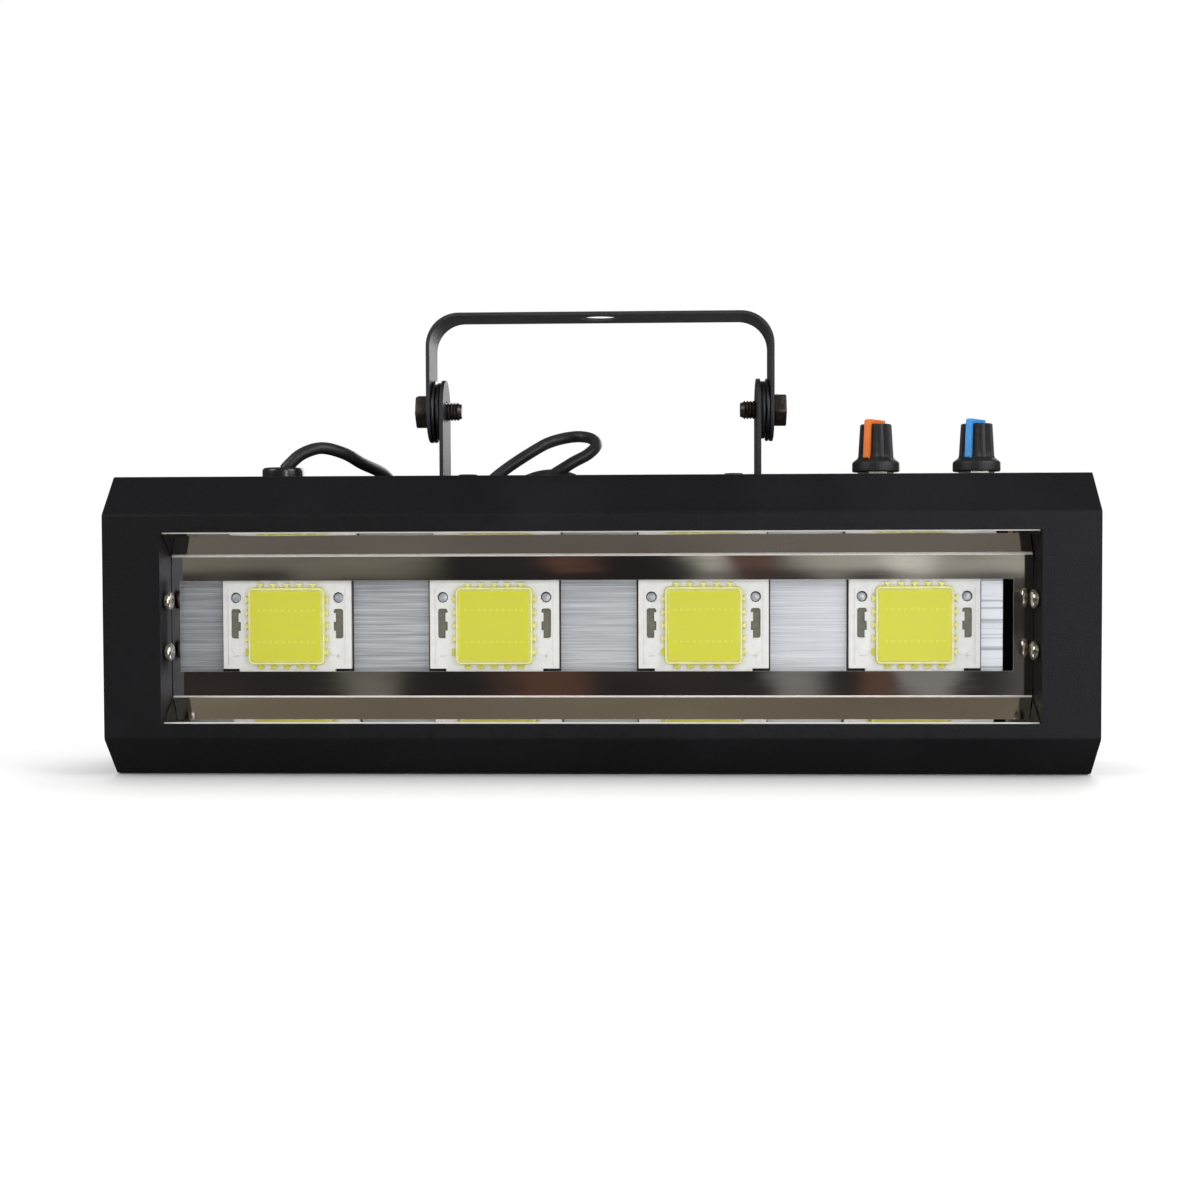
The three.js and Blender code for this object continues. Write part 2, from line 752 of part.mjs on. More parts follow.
function yoke() {
  const { rise, strap, sheet, bend, clampHole } = yokeSize;
  const r = strap / 2;
  const line = [[yokeOuter, -r], [yokeOuter, rise], [-yokeOuter, rise], [-yokeOuter, -r]];
  const strip = foldedSheet(line, sheet, bend);
  const legs = new THREE.Shape();
  legs.moveTo(-r, 0).absarc(0, 0, r, Math.PI, 2 * Math.PI);
  legs.lineTo(r, rise + OVERRUN).lineTo(-r, rise + OVERRUN);
  const reach = yokeOuter + OVERRUN;
  const form = common(alongY(strip, -r, r), alongX(legs, -reach, reach, HALF_ROUND));
  const boltHoles = barX(pivot.thread + pivot.threadPlay, -reach, reach);
  return cut(form, boltHoles, barZ(clampHole, rise - sheet - OVERRUN, rise + OVERRUN));
}

// A bracket ear: an angled strip with its foot under the top panel, riveted through it.
function bracketEar(side) {
  const { foot, sheet, bend, rivet, rivetHead, rivetHeadHeight } = ear;
  const footTop = underTop - GAP;
  const footBottom = footTop - sheet;
  const r = yokeSize.strap / 2;
  const line = [[earOuter - foot, footBottom], [earOuter, footBottom], [earOuter, pivotRise + r]];
  const strip = foldedSheet(line, sheet, bend);
  const outline = new THREE.Shape();
  outline.moveTo(-r, footBottom - OVERRUN).lineTo(r, footBottom - OVERRUN).lineTo(r, pivotRise);
  outline.absarc(0, pivotRise, r, 0, Math.PI);
  const form = common(alongY(strip, -r, r), alongX(outline, 0, earOuter + OVERRUN, HALF_ROUND));
  const boltHole = barX(pivot.thread + pivot.threadPlay, 0, earOuter + OVERRUN);
  const holed = cut(form, boltHole.translate(0, 0, pivotRise));
  const rivets = rivetPlaces.flatMap((y) => [
    barZ(rivet, footBottom + sheet / 2, housing.height + GAP + rivetHeadHeight / 2, SMALL_ROUND),
    barZ(rivetHead, housing.height + GAP, housing.height + GAP + rivetHeadHeight, SMALL_ROUND),
  ].map((bar) => bar.translate(rivetReach, y - pivotDepth, 0)));
  const body = join(holed, ...rivets);
  return side > 0 ? body : body.rotateZ(Math.PI);
}

// The pivot bolt, made with the outside of the yoke at x = 0 and its thread towards -X.
function pivotBolt() {
  const { headFlats, headHeight, headChamfer, thread, threadEnd } = pivot;
  const hexagonal = alongX(hexagon(headFlats), GAP, GAP + headHeight);
  const corner = headFlats / 2 / Math.cos(Math.PI / 6);
  const headTop = GAP + headHeight;
  const crown = turned([
    [0, GAP - OVERRUN],
    [corner + OVERRUN, GAP - OVERRUN],
    [corner + OVERRUN, headTop - headChamfer - OVERRUN],
    [corner - headChamfer, headTop],
    [0, headTop],
  ]).rotateY(Math.PI / 2);
  const shankEnd = earOuter - ear.sheet - threadEnd - yokeOuter;
  const shank = turned([
    [0, shankEnd],
    [thread / 2 - headChamfer, shankEnd],
    [thread / 2, shankEnd + headChamfer],
    [thread / 2, GAP + OVERRUN],
    [0, GAP + OVERRUN],
  ]).rotateY(Math.PI / 2);
  return join(common(hexagonal, crown), shank);
}

// A washer round the bolt axis, between two stations on X.
function washer(diameter, x0, x1) {
  return cut(barX(diameter, x0, x1), barX(pivot.thread + pivot.threadPlay, x0 - OVERRUN, x1 + OVERRUN));
}

// A rotary control under the top panel, round its own axis.

const nutTop = housing.height + GAP + control.nutThickness;
const bushingTop = housing.height + control.bushingHeight;
const knobBottom = housing.height + knobSize.raise;
const knobTop = knobBottom + knobSize.height;
const controlFloor = underTop - GAP - control.bodyHeight;
const shaftBore = control.shaft + 2 * GAP;

function controlBody() {
  const r = control.bodyDiameter / 2;
  const body = turned([
    [0, controlFloor], [r, controlFloor], [r, underTop - GAP], [control.bushing / 2, underTop - GAP],
    [control.bushing / 2, bushingTop], [0, bushingTop],
  ]);
  return cut(body, barZ(shaftBore, controlFloor + control.bodyHeight / 4, bushingTop + OVERRUN));
}

function controlNut() {
  const nut = alongZ(hexagon(control.nutFlats), housing.height + GAP, nutTop);
  return cut(nut, barZ(control.bushing + 2 * GAP, housing.height, nutTop + OVERRUN));
}

function controlShaft() {
  return barZ(control.shaft, controlFloor + control.bodyHeight / 4 + GAP, knobBottom + knobSize.bore - GAP);
}

// The knob: a turned skirt and waist, a tapered body with flutes, a recess over the nut, a
// bore for the shaft and a groove for the pointer, which faces +X before it is turned.

function knobGroove(clearance) {
  const { pointerWidth, pointerRise, pointerRoot, pointerTail, skirt, waist, top } = knobSize;
  const w = pointerWidth / 2 + clearance;
  const low = knobBottom + knobSize.skirtHeight + knobSize.ogeeHeight / 2;
  const groove = [
    [pointerRoot - clearance, low - clearance],
    [skirt, low - clearance],
    [skirt, knobTop + OVERRUN],
    [pointerRoot - clearance, knobTop + OVERRUN],
  ];
  const rib = [
    [-pointerTail, knobTop + GAP],
    [pointerRoot, knobTop + GAP],
    [pointerRoot, low + pointerRise],
    [waist / 2, low],
    [waist / 2 + pointerRise, low + pointerRise / 2],
    [top / 2 + pointerRise / 2, knobTop + GAP + pointerRise],
    [-pointerTail, knobTop + GAP + pointerRise],
  ];
  return alongY(new THREE.Shape(vectors(clearance > 0 ? groove : rib)), -w, w);
}

function knob() {
  const { skirtHeight, ogeeHeight, height, edge, flutes, fluteDepth, recess, recessDepth } = knobSize;
  const s = knobSize.skirt / 2;
  const w = knobSize.waist / 2;
  const t = knobSize.top / 2;
  const base = turned([
    [0, knobBottom], [s - edge / 2, knobBottom], [s, knobBottom + edge], [s, knobBottom + skirtHeight],
    [(s + w) / 2, knobBottom + skirtHeight + ogeeHeight / 4], [w, knobBottom + skirtHeight + ogeeHeight],
    [t, knobTop - edge], [t - edge, knobTop], [0, knobTop],
  ], 2 * (flutes + 1));
  const fluteAngle = (k) => (k + 1) * 2 * Math.PI / (flutes + 1);
  const cutter = (k) => {
    const lean = Math.atan2(w - t, height - skirtHeight - ogeeHeight);
    const bar = barZ(2 * fluteDepth, 0, height, 2 * CORNER_STEPS).rotateY(-lean);
    return bar.translate(w, 0, knobBottom + skirtHeight + ogeeHeight / 2).rotateZ(fluteAngle(k));
  };
  const cutters = Array.from({ length: flutes }, (_, k) => cutter(k));
  return cut(
    base,
    ...cutters,
    barZ(recess, knobBottom - OVERRUN, knobBottom + recessDepth),
    barZ(shaftBore, knobBottom, knobBottom + knobSize.bore),
    knobGroove(GAP),
  );
}

// The snap-in bushing of the lead, round its own axis, with a flared mouth and a snap barb.
function cordBushing() {
  const base = housing.height + GAP;
  const { rise, edge, barbHeight, barbChamfer, tail } = gland;
  const flange = gland.flange / 2;
  const neck = gland.neck / 2;
  const barb = gland.barb / 2 + edge;
  const end = gland.tailDiameter / 2;
  const mouth = gland.mouth / 2;
  const throat = gland.throat / 2;
  const latch = underTop - GAP;
  const bottom = latch - barbHeight;
  return turned([
    [0, bottom - tail], [end, bottom - tail], [end, bottom], [neck - edge, bottom],
    [barb, latch - barbChamfer], [barb, latch], [neck, latch],
    [neck, base], [flange, base], [flange, base + rise - edge], [flange - edge, base + rise],
    [mouth, base + rise], [throat, mouthFloor + edge / 2], [throat - edge / 2, mouthFloor], [0, mouthFloor],
  ]);
}

// Boards and parts inside, made in place. The power board stands on the rear cover.

function powerBoard() {
  const { thickness, height } = board;
  return box([-boardLeft, boardRight], [boardFront, boardFront + thickness], about(bodyMiddle, height / 2));
}

const alongBoard = (share) => THREE.MathUtils.lerp(-boardLeft, boardRight, share);

function terminalBlock() {
  const { width, height, thickness, screw, screwDepth } = components.terminal;
  const front = partBack - thickness;
  const block = box(about(0, width / 2), [front, partBack], about(0, height / 2));
  const screws = [-1, 1].map((side) => (
    barY(screw, front - OVERRUN, front + screwDepth, SMALL_ROUND).translate(side * width / 4, 0, 0)));
  return cut(block, ...screws);
}

function transformer() {
  const { width, height, thickness, core, flange } = components.transformer;
  const front = partBack - thickness;
  const windingHalf = (height - core) / 2;
  const winding = box(about(0, width / 2), [front + flange, partBack - flange], about(0, windingHalf));
  const ends = [-1, 1].map((side) => (
    box(about(0, width / 2), [front, partBack], span(side * height / 2, side * windingHalf))));
  const middle = box(
    about(0, core / 2),
    [front + flange / 2, partBack - flange],
    about(0, height / 2 - flange),
  );
  return join(winding, ...ends, middle);
}

function capacitor() {
  const { diameter, length, groove, grooveDepth, edge } = components.capacitor;
  const r = diameter / 2;
  const low = -length / 2;
  return turned([
    [0, low], [r - edge, low], [r, low + edge], [r, low + groove], [r - grooveDepth, low + groove + edge],
    [r, low + groove + 2 * edge], [r, -low - edge], [r - edge, -low], [0, -low],
  ]).rotateY(Math.PI / 2).translate(0, partBack - r, 0);
}

function rectifier() {
  const { width, height, thickness, notch } = components.rectifier;
  const w = width / 2;
  const h = height / 2;
  const shape = new THREE.Shape(vectors([[-w, -h], [w, -h], [w, h - notch], [w - notch, h], [-w, h]]));
  return alongY(shape, partBack - thickness, partBack);
}

function drivers() {
  const { width, height, base, fins, finDepth, finThickness } = components.transistor;
  const plate = box(about(0, width / 2), [partBack - base, partBack], about(0, height / 2));
  const pitch = (width - finThickness) / (fins - 1);
  const fin = (k) => {
    const x = finThickness / 2 - width / 2 + k * pitch;
    const reach = [partBack - base - finDepth, partBack - base / 2];
    return box(about(x, finThickness / 2), reach, about(0, height / 2));
  };
  return join(plate, ...Array.from({ length: fins }, (_, k) => fin(k)));
}

function controlCircuit() {
  const top = controlFloor - GAP;
  return box(
    [speedX - controlBoard.margin, dimmerX + controlBoard.margin],
    about(pivotDepth, controlBoard.depth / 2),
    [top - controlBoard.thickness, top],
  );
}

// The lead. Its free route ends where the coil begins; the coil winds in on the lower layer,
// turns back in the middle of the half turn in which it climbs, and winds out on the upper layer.

const coilPitch = lead.diameter + coil.turnGap;
const coilInner = coil.middleRadius - coil.turnsPerLayer * coilPitch / 2;
const coilOuter = coil.middleRadius + coil.turnsPerLayer * coilPitch / 2;
const lowerLayer = leadRadius + tie.thickness + GAP;
const upperLayer = lowerLayer + lead.diameter + coil.layerGap;
const climbTurns = 1 / 2;
const reversal = coil.turnsPerLayer + climbTurns / 2;
const coilTurns = 2 * coil.turnsPerLayer + climbTurns;
const coilX = leadRoute.at(-1)[0] + coilOuter;

class CoilCurve extends THREE.Curve {
  constructor() {
    super();
    this.straight = lead.diameter;
    this.wound = 2 * Math.PI * coil.middleRadius * coilTurns;
  }

  // The place on the winding after so many turns, wound clockwise from the left of the coil.
  wind(turn, target) {
    const inward = Math.min(turn, reversal);
    const outward = Math.max(turn - reversal, 0);
    const climb = THREE.MathUtils.smoothstep(turn, coil.turnsPerLayer, coil.turnsPerLayer + climbTurns);
    const radius = coilOuter - coilPitch * inward + coilPitch * outward;
    const angle = Math.PI - 2 * Math.PI * turn;
    return target.set(
      coilX + radius * Math.cos(angle),
      coilDepth + radius * Math.sin(angle),
      THREE.MathUtils.lerp(lowerLayer, upperLayer, climb),
    );
  }

  getPoint(t, target = new THREE.Vector3()) {
    const total = this.wound + 2 * this.straight;
    const along = t * total - this.straight;
    if (along < 0) {
      this.wind(0, target);
      target.y += along;
    } else if (along > this.wound) {
      this.wind(coilTurns, target);
      target.y -= along - this.wound;
    } else {
      this.wind(coilTurns * along / this.wound, target);
    }
    return target;
  }
}

function through(points) {
  return new THREE.CatmullRomCurve3(points.map((point) => new THREE.Vector3(...point)), false, 'centripetal');
}

const coilCurve = new CoilCurve();
const coilSteps = Math.round(coil.stepsPerTurn * coilTurns) + 2;

// The least gap of the winding to itself, between points that are half a turn or more apart.
function leastCoilGap() {
  const points = coilCurve.getPoints(2 * coilSteps);
  const least = points.map((point, i) => {
    const others = points.slice(i + coil.stepsPerTurn);
    return Math.min(...others.map((other) => point.distanceTo(other)));
  });
  return Math.min(...least) - lead.diameter;
}

console.log(`Least gap of the coiled lead to itself: ${leastCoilGap().toFixed(2)} mm`);
const coilStart = coilCurve.getPoint(0);
const coilEnd = coilCurve.getPoint(1);
const sleeveX = coilEnd.x + plug.tail;

const leadRun = through([
  ...leadRoute,
  [coilStart.x, coilStart.y - 2 * lead.diameter - GAP, coilStart.z],
  [coilStart.x, coilStart.y - lead.diameter - GAP, coilStart.z],
  [coilStart.x, coilStart.y - GAP, coilStart.z],
]);

function tailCurve() {
  const start = [coilEnd.x, coilEnd.y - GAP, coilEnd.z];
  const drop = coilEnd.y - plugDepth;
  const reach = sleeveX - coilEnd.x;
  const middle = plug.thickness / 2;
  const routeShares = [[0.06, 0.6, 0.5], [0.2, 0.92, 0.12], [0.4, 1, 0], [0.62, 1, 0.02]];
  const lying = routeShares.map(([across, along, high]) => [
    coilEnd.x + reach * across,
    coilEnd.y - drop * along,
    THREE.MathUtils.lerp(leadRadius + GAP, coilEnd.z, high),
  ]);
  return through([
    start, [start[0], start[1] - lead.diameter, start[2]], ...lying,
    [sleeveX - 2 * lead.diameter, plugDepth, THREE.MathUtils.lerp(leadRadius, middle, plug.leadRiseShare)],
    [sleeveX - lead.diameter, plugDepth, middle],
    [sleeveX - GAP, plugDepth, middle],
  ]);
}

function coilTie() {
  const width = coilOuter - coilInner + lead.diameter + 2 * tie.play;
  const low = tie.thickness;
  const high = upperLayer + leadRadius + GAP;
  const outer = roundedRectangle(width + 2 * tie.thickness, high + tie.thickness, tie.edge + tie.thickness);
  const inner = roundedRectangle(width, high - low, tie.edge);
  const band = alongX(outer, -tie.width / 2, tie.width / 2);
  const hollow = alongX(inner, -tie.width / 2 - OVERRUN, tie.width / 2 + OVERRUN);
  const depth = coilDepth + coil.middleRadius - coilPitch * climbTurns / 2;
  return cut(band, hollow).translate(coilX, depth, (high + tie.thickness) / 2);
}

// The plug: a sleeve that tapers to the lead, a shoulder and a flat body, made along +X.

function plugRing(x, width, thickness, corner) {
  const steps = CORNER_STEPS + 1;
  const spot = (quarter, k) => {
    const angle = (quarter + k / steps) * Math.PI / 2;
    const right = quarter === 0 || quarter === 3 ? 1 : -1;
    const up = quarter < 2 ? 1 : -1;
    return new THREE.Vector3(
      x,
      right * (width / 2 - corner) + corner * Math.cos(angle),
      up * (thickness / 2 - corner) + corner * Math.sin(angle),
    );
  };
  const quarters = [0, 1, 2, 3];
  return quarters.flatMap((quarter) => Array.from({ length: steps + 1 }, (_, k) => spot(quarter, k)));
}

function plugBody() {
  const { sleeveLength, sleeveEnd, shoulder, width, thickness, corner, faceShare } = plug;
  const bodyStart = sleeveLength + shoulder;
  const end = bodyStart + plug.body;
  const round = (diameter) => [diameter, diameter, diameter / 2 - WELD];
  const halfway = [[width, sleeveEnd], [thickness, sleeveEnd], [corner, sleeveEnd / 2]];
  const rings = [
    plugRing(0, ...round(plug.sleeveStart)),
    plugRing(sleeveLength, ...round(sleeveEnd)),
    plugRing(sleeveLength + shoulder / 3, ...halfway.map(([a, b]) => (a + b) / 2)),
    plugRing(bodyStart, width, thickness, corner),
    plugRing(end - shoulder / 3, width, thickness, corner),
    plugRing(end, width * faceShare, thickness * faceShare, corner * faceShare),
  ];
  const socket = (side) => {
    const bar = barX(plug.pin + 2 * GAP, end - plug.pinSocket, end + OVERRUN, SMALL_ROUND);
    return bar.translate(0, side * plug.pinSpacing / 2, 0);
  };
  return cut(lofted(rings), socket(-1), socket(1));
}

function plugPin() {
  const { pinLength, pinSocket, sleeveLength, shoulder, body } = plug;
  const r = plug.pin / 2;
  const root = sleeveLength + shoulder + body - pinSocket + GAP;
  const tip = sleeveLength + shoulder + body + pinLength;
  const half = Math.SQRT1_2;
  return turned([
    [0, root], [r, root], [r, tip - r], [r * half, tip - r * (1 - half)], [0, tip],
  ], SMALL_ROUND).rotateY(Math.PI / 2);
}

// The assembly.

place(light, 'front_shell', frontShell(), powderCoat);
place(light, 'rear_cover', rearCover(), powderCoat);
place(light, 'reflector', reflector(), polished);

const sides = [['left', -1], ['right', 1]];
for (const [sideName, side] of sides) {
  reflectorScrewLevels.forEach((z, k) => {
    const screw = place(light, `reflector_screw_${sideName}_${k + 1}`, panHeadScrew(panScrew.length), nickel);
    screw.position.set(side * (openingReach - GAP), panScrew.depthInFlange, z);
    screw.rotation.y = -side * Math.PI / 2;
  });
}
lipScrews.forEach(({ x, z }, k) => {
  const screw = place(light, `rear_screw_${k + 1}`, panHeadScrew(rearScrew.length), blackSteel);
  screw.position.set(x, housing.depth + GAP, z);
  screw.rotation.x = -Math.PI / 2;
});

place(light, 'heat_sink', heatSink(), aluminium);
sinkSpacers.forEach(({ x, z }, k) => {
  place(light, `sink_spacer_${k + 1}`, sinkSpacer(), nickel).position.set(x, 0, z);
});
for (let k = 0; k < led.count; k += 1) {
  const x = (k - (led.count - 1) / 2) * ledPitch;
  place(light, `led_plate_${k + 1}`, ledPlate(), whiteBoard).position.set(x, 0, ledRow);
  place(light, `led_emitter_${k + 1}`, ledEmitter(), phosphor).position.set(x, 0, ledRow);
}

const boardParts = [
  ['mains_terminal', components.terminal, terminalBlock(), terminalGreen, components.terminal.rise],
  ['transformer', components.transformer, transformer(), beige, 0],
  ['capacitor', components.capacitor, capacitor(), copperBrown, components.capacitor.rise],
  ['rectifier', components.rectifier, rectifier(), blackNylon, -components.rectifier.drop],
  ['driver_cooler', components.transistor, drivers(), aluminium, 0],
];
place(light, 'power_board', powerBoard(), boardGreen);
for (const [name, { share }, geometry, material, rise] of boardParts) {
  place(light, name, geometry, material).position.set(alongBoard(share), 0, bodyMiddle + rise);
}
place(light, 'control_board', controlCircuit(), boardGreen);

for (const [name, x] of [['speed', speedX], ['dimmer', dimmerX]]) {
  const group = new THREE.Group();
  group.position.set(x, pivotDepth, 0);
  light.add(group);
  place(group, `${name}_control`, controlBody(), nickel);
  place(group, `${name}_nut`, controlNut(), nickel);
  const turning = new THREE.Group();
  turning.rotation.z = -Math.PI / 2 + knobSize.pointerTurn;
  group.add(turning);
  place(turning, `${name}_shaft`, controlShaft(), nickel);
  place(turning, `${name}_knob`, knob(), knobBlack);
  place(turning, `${name}_pointer`, knobGroove(0), name === 'speed' ? orange : blue);
}

// The ears and what is screwed into them stay with the housing; the yoke tilts with its washers.
const fixed = new THREE.Group();
fixed.position.set(0, pivotDepth, 0);
light.add(fixed);
const tilting = new THREE.Group();
tilting.position.set(0, pivotDepth, pivotRise);
light.add(tilting);
place(tilting, 'yoke', yoke(), powderCoat);
for (const [sideName, side] of sides) {
  const turn = side > 0 ? 0 : Math.PI;
  const plainEnd = yokeInner - GAP;
  const plainStart = plainEnd - washerSize.plainThickness;
  const plain = washer(washerSize.plainDiameter, plainStart, plainEnd);
  const friction = washer(washerSize.frictionDiameter, earOuter + GAP, plainStart - GAP);
  place(fixed, `bracket_ear_${sideName}`, bracketEar(side), powderCoat);
  const bolt = place(fixed, `pivot_bolt_${sideName}`, pivotBolt(), blackSteel);
  bolt.position.set(side * yokeOuter, 0, pivotRise);
  bolt.rotation.z = turn;
  const inner = place(fixed, `friction_washer_${sideName}`, friction, blackNylon);
  inner.position.z = pivotRise;
  inner.rotation.z = turn;
  place(tilting, `plain_washer_${sideName}`, plain, blackSteel).rotation.z = turn;
}

place(light, 'cord_bushing', cordBushing(), blackNylon).position.set(glandX, pivotDepth, 0);
place(light, 'lead', cord(leadRun, lead.diameter, lead.sides, lead.steps), leadBlack);
place(light, 'lead_coil', cord(coilCurve, lead.diameter, coil.sides, coilSteps), leadBlack);
place(light, 'lead_tail', cord(tailCurve(), lead.diameter, lead.sides, lead.tailSteps), leadBlack);
place(light, 'coil_tie', coilTie(), blackNylon);
const plugGroup = new THREE.Group();
plugGroup.position.set(sleeveX, plugDepth, plug.thickness / 2);
light.add(plugGroup);
place(plugGroup, 'plug_body', plugBody(), leadBlack);
[-1, 1].forEach((side, k) => {
  place(plugGroup, `plug_pin_${k + 1}`, plugPin(), nickel).position.y = side * plug.pinSpacing / 2;
});

export default light;
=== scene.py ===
"""LED strobe light: finishes, fine pieces and the mains lead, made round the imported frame.

The front face looks along -Y, X runs to the right and Z is up. Everything is in metres, in the
frame's own place: each object sits at the origin and its place is in its mesh.
"""

import logging
import math
from collections.abc import Callable, Iterable, Sequence
from dataclasses import dataclass, field
from functools import cache, cached_property

import bmesh
import bpy
from bmesh.types import BMEdge, BMVert
from bpy.types import Material, Mesh, Node, NodeSocket, Object, World
from mathutils import Matrix, Vector


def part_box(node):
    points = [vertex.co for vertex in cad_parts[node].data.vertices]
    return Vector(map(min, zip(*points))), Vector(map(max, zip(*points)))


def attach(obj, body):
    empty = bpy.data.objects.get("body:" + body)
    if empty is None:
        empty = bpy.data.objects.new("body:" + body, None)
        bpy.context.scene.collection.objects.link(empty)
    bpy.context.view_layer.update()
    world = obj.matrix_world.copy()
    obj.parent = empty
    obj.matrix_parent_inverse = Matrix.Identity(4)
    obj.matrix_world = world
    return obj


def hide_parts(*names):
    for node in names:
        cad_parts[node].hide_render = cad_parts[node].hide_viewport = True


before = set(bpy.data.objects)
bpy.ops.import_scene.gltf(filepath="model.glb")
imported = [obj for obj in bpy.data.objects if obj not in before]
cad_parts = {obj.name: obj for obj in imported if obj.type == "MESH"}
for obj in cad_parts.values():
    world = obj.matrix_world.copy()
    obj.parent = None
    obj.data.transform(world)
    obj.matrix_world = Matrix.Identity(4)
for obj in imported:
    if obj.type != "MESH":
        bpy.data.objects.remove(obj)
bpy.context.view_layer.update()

logging.basicConfig(level=logging.INFO, format="%(message)s")
log = logging.getLogger("strobe_light")

MM = 0.001
WELD = 0.001 * MM
SINK = 0.02 * MM
FLAT = 0.4
QUARTER = math.pi / 2
FULL = 2 * math.pi
UPRIGHT = Matrix.Rotation(QUARTER, 4, "X")
Color = tuple[float, float, float]
Point = tuple[float, float]
Sizes = tuple[float, float, float]
SIDES = (("left", -1), ("right", 1))


# Shader maths.


def math_method(operation: str, turned: bool = False) -> Callable[..., "Value"]:
    """Makes a method of Value that adds one Math node.

    Args:
        operation: The node's operation.
        turned: Whether the number itself comes last.

    Returns:
        The method.
    """

    def method(self: "Value", *others: "Value | float") -> "Value":
        """Puts the number and the others through the node."""
        operands = (*others, self) if turned else (self, *others)
        return self.shader.value("ShaderNodeMath", {"operation": operation}, dict(enumerate(operands)))

    return method


class Value:
    """A number in a material. Python's operators on it add Math nodes."""

    __add__ = __radd__ = math_method("ADD")
    __sub__ = math_method("SUBTRACT")
    __rsub__ = math_method("SUBTRACT", turned=True)
    __mul__ = __rmul__ = math_method("MULTIPLY")
    __pow__ = math_method("POWER")
    __abs__ = math_method("ABSOLUTE")
    most = math_method("MAXIMUM")
    least = math_method("MINIMUM")
    zigzag = math_method("PINGPONG")

    def __init__(self, shader: "Shader", socket: NodeSocket) -> None:
        """Wraps a socket of one material."""
        self.shader = shader
        self.socket = socket

    def ramp(self, low: float, high: float) -> "Value":
        """A smooth step.

        Args:
            low: The value that gives 0.
            high: The value that gives 1. It may be the smaller one.

        Returns:
            A number from 0 to 1.
        """
        settings = {"interpolation_type": "SMOOTHSTEP"}
        values = {"Value": self, "From Min": low, "From Max": high}
        return self.shader.value("ShaderNodeMapRange", settings, values)


class Tree:
    """The node tree of a material or a world."""

    def __init__(self, owner: Material | World) -> None:
        """Empties the owner's tree.

        Args:
            owner: The material or the world.
        """
        owner.use_nodes = True
        self.tree = owner.node_tree
        self.tree.nodes.clear()

    def node(
        self,
        kind: str,
        settings: dict[str, object] | None = None,
        values: dict[str | int, object] | None = None,
    ) -> Node:
        """Adds a node.

        Args:
            kind: Its type.
            settings: Its own properties, which are set first.
            values: Numbers, colours, sockets or Values for its inputs, by name or place.

        Returns:
            The node.
        """
        made = self.tree.nodes.new(kind)
        for key, value in (settings or {}).items():
            setattr(made, key, value)
        for key, value in (values or {}).items():
            self.feed(made.inputs[key], value)
        return made

    def feed(self, socket: NodeSocket, value: object) -> None:
        """Sets a socket to a number or colour, or links it.

        Args:
            socket: The input.
            value: A Value, a socket, a number or a colour.
        """
        if isinstance(value, Value):
            value = value.socket
        if isinstance(value, NodeSocket):
            self.tree.links.new(value, socket)
        elif socket.type == "RGBA":
            socket.default_value = (*value, 1)
        else:
            socket.default_value = value


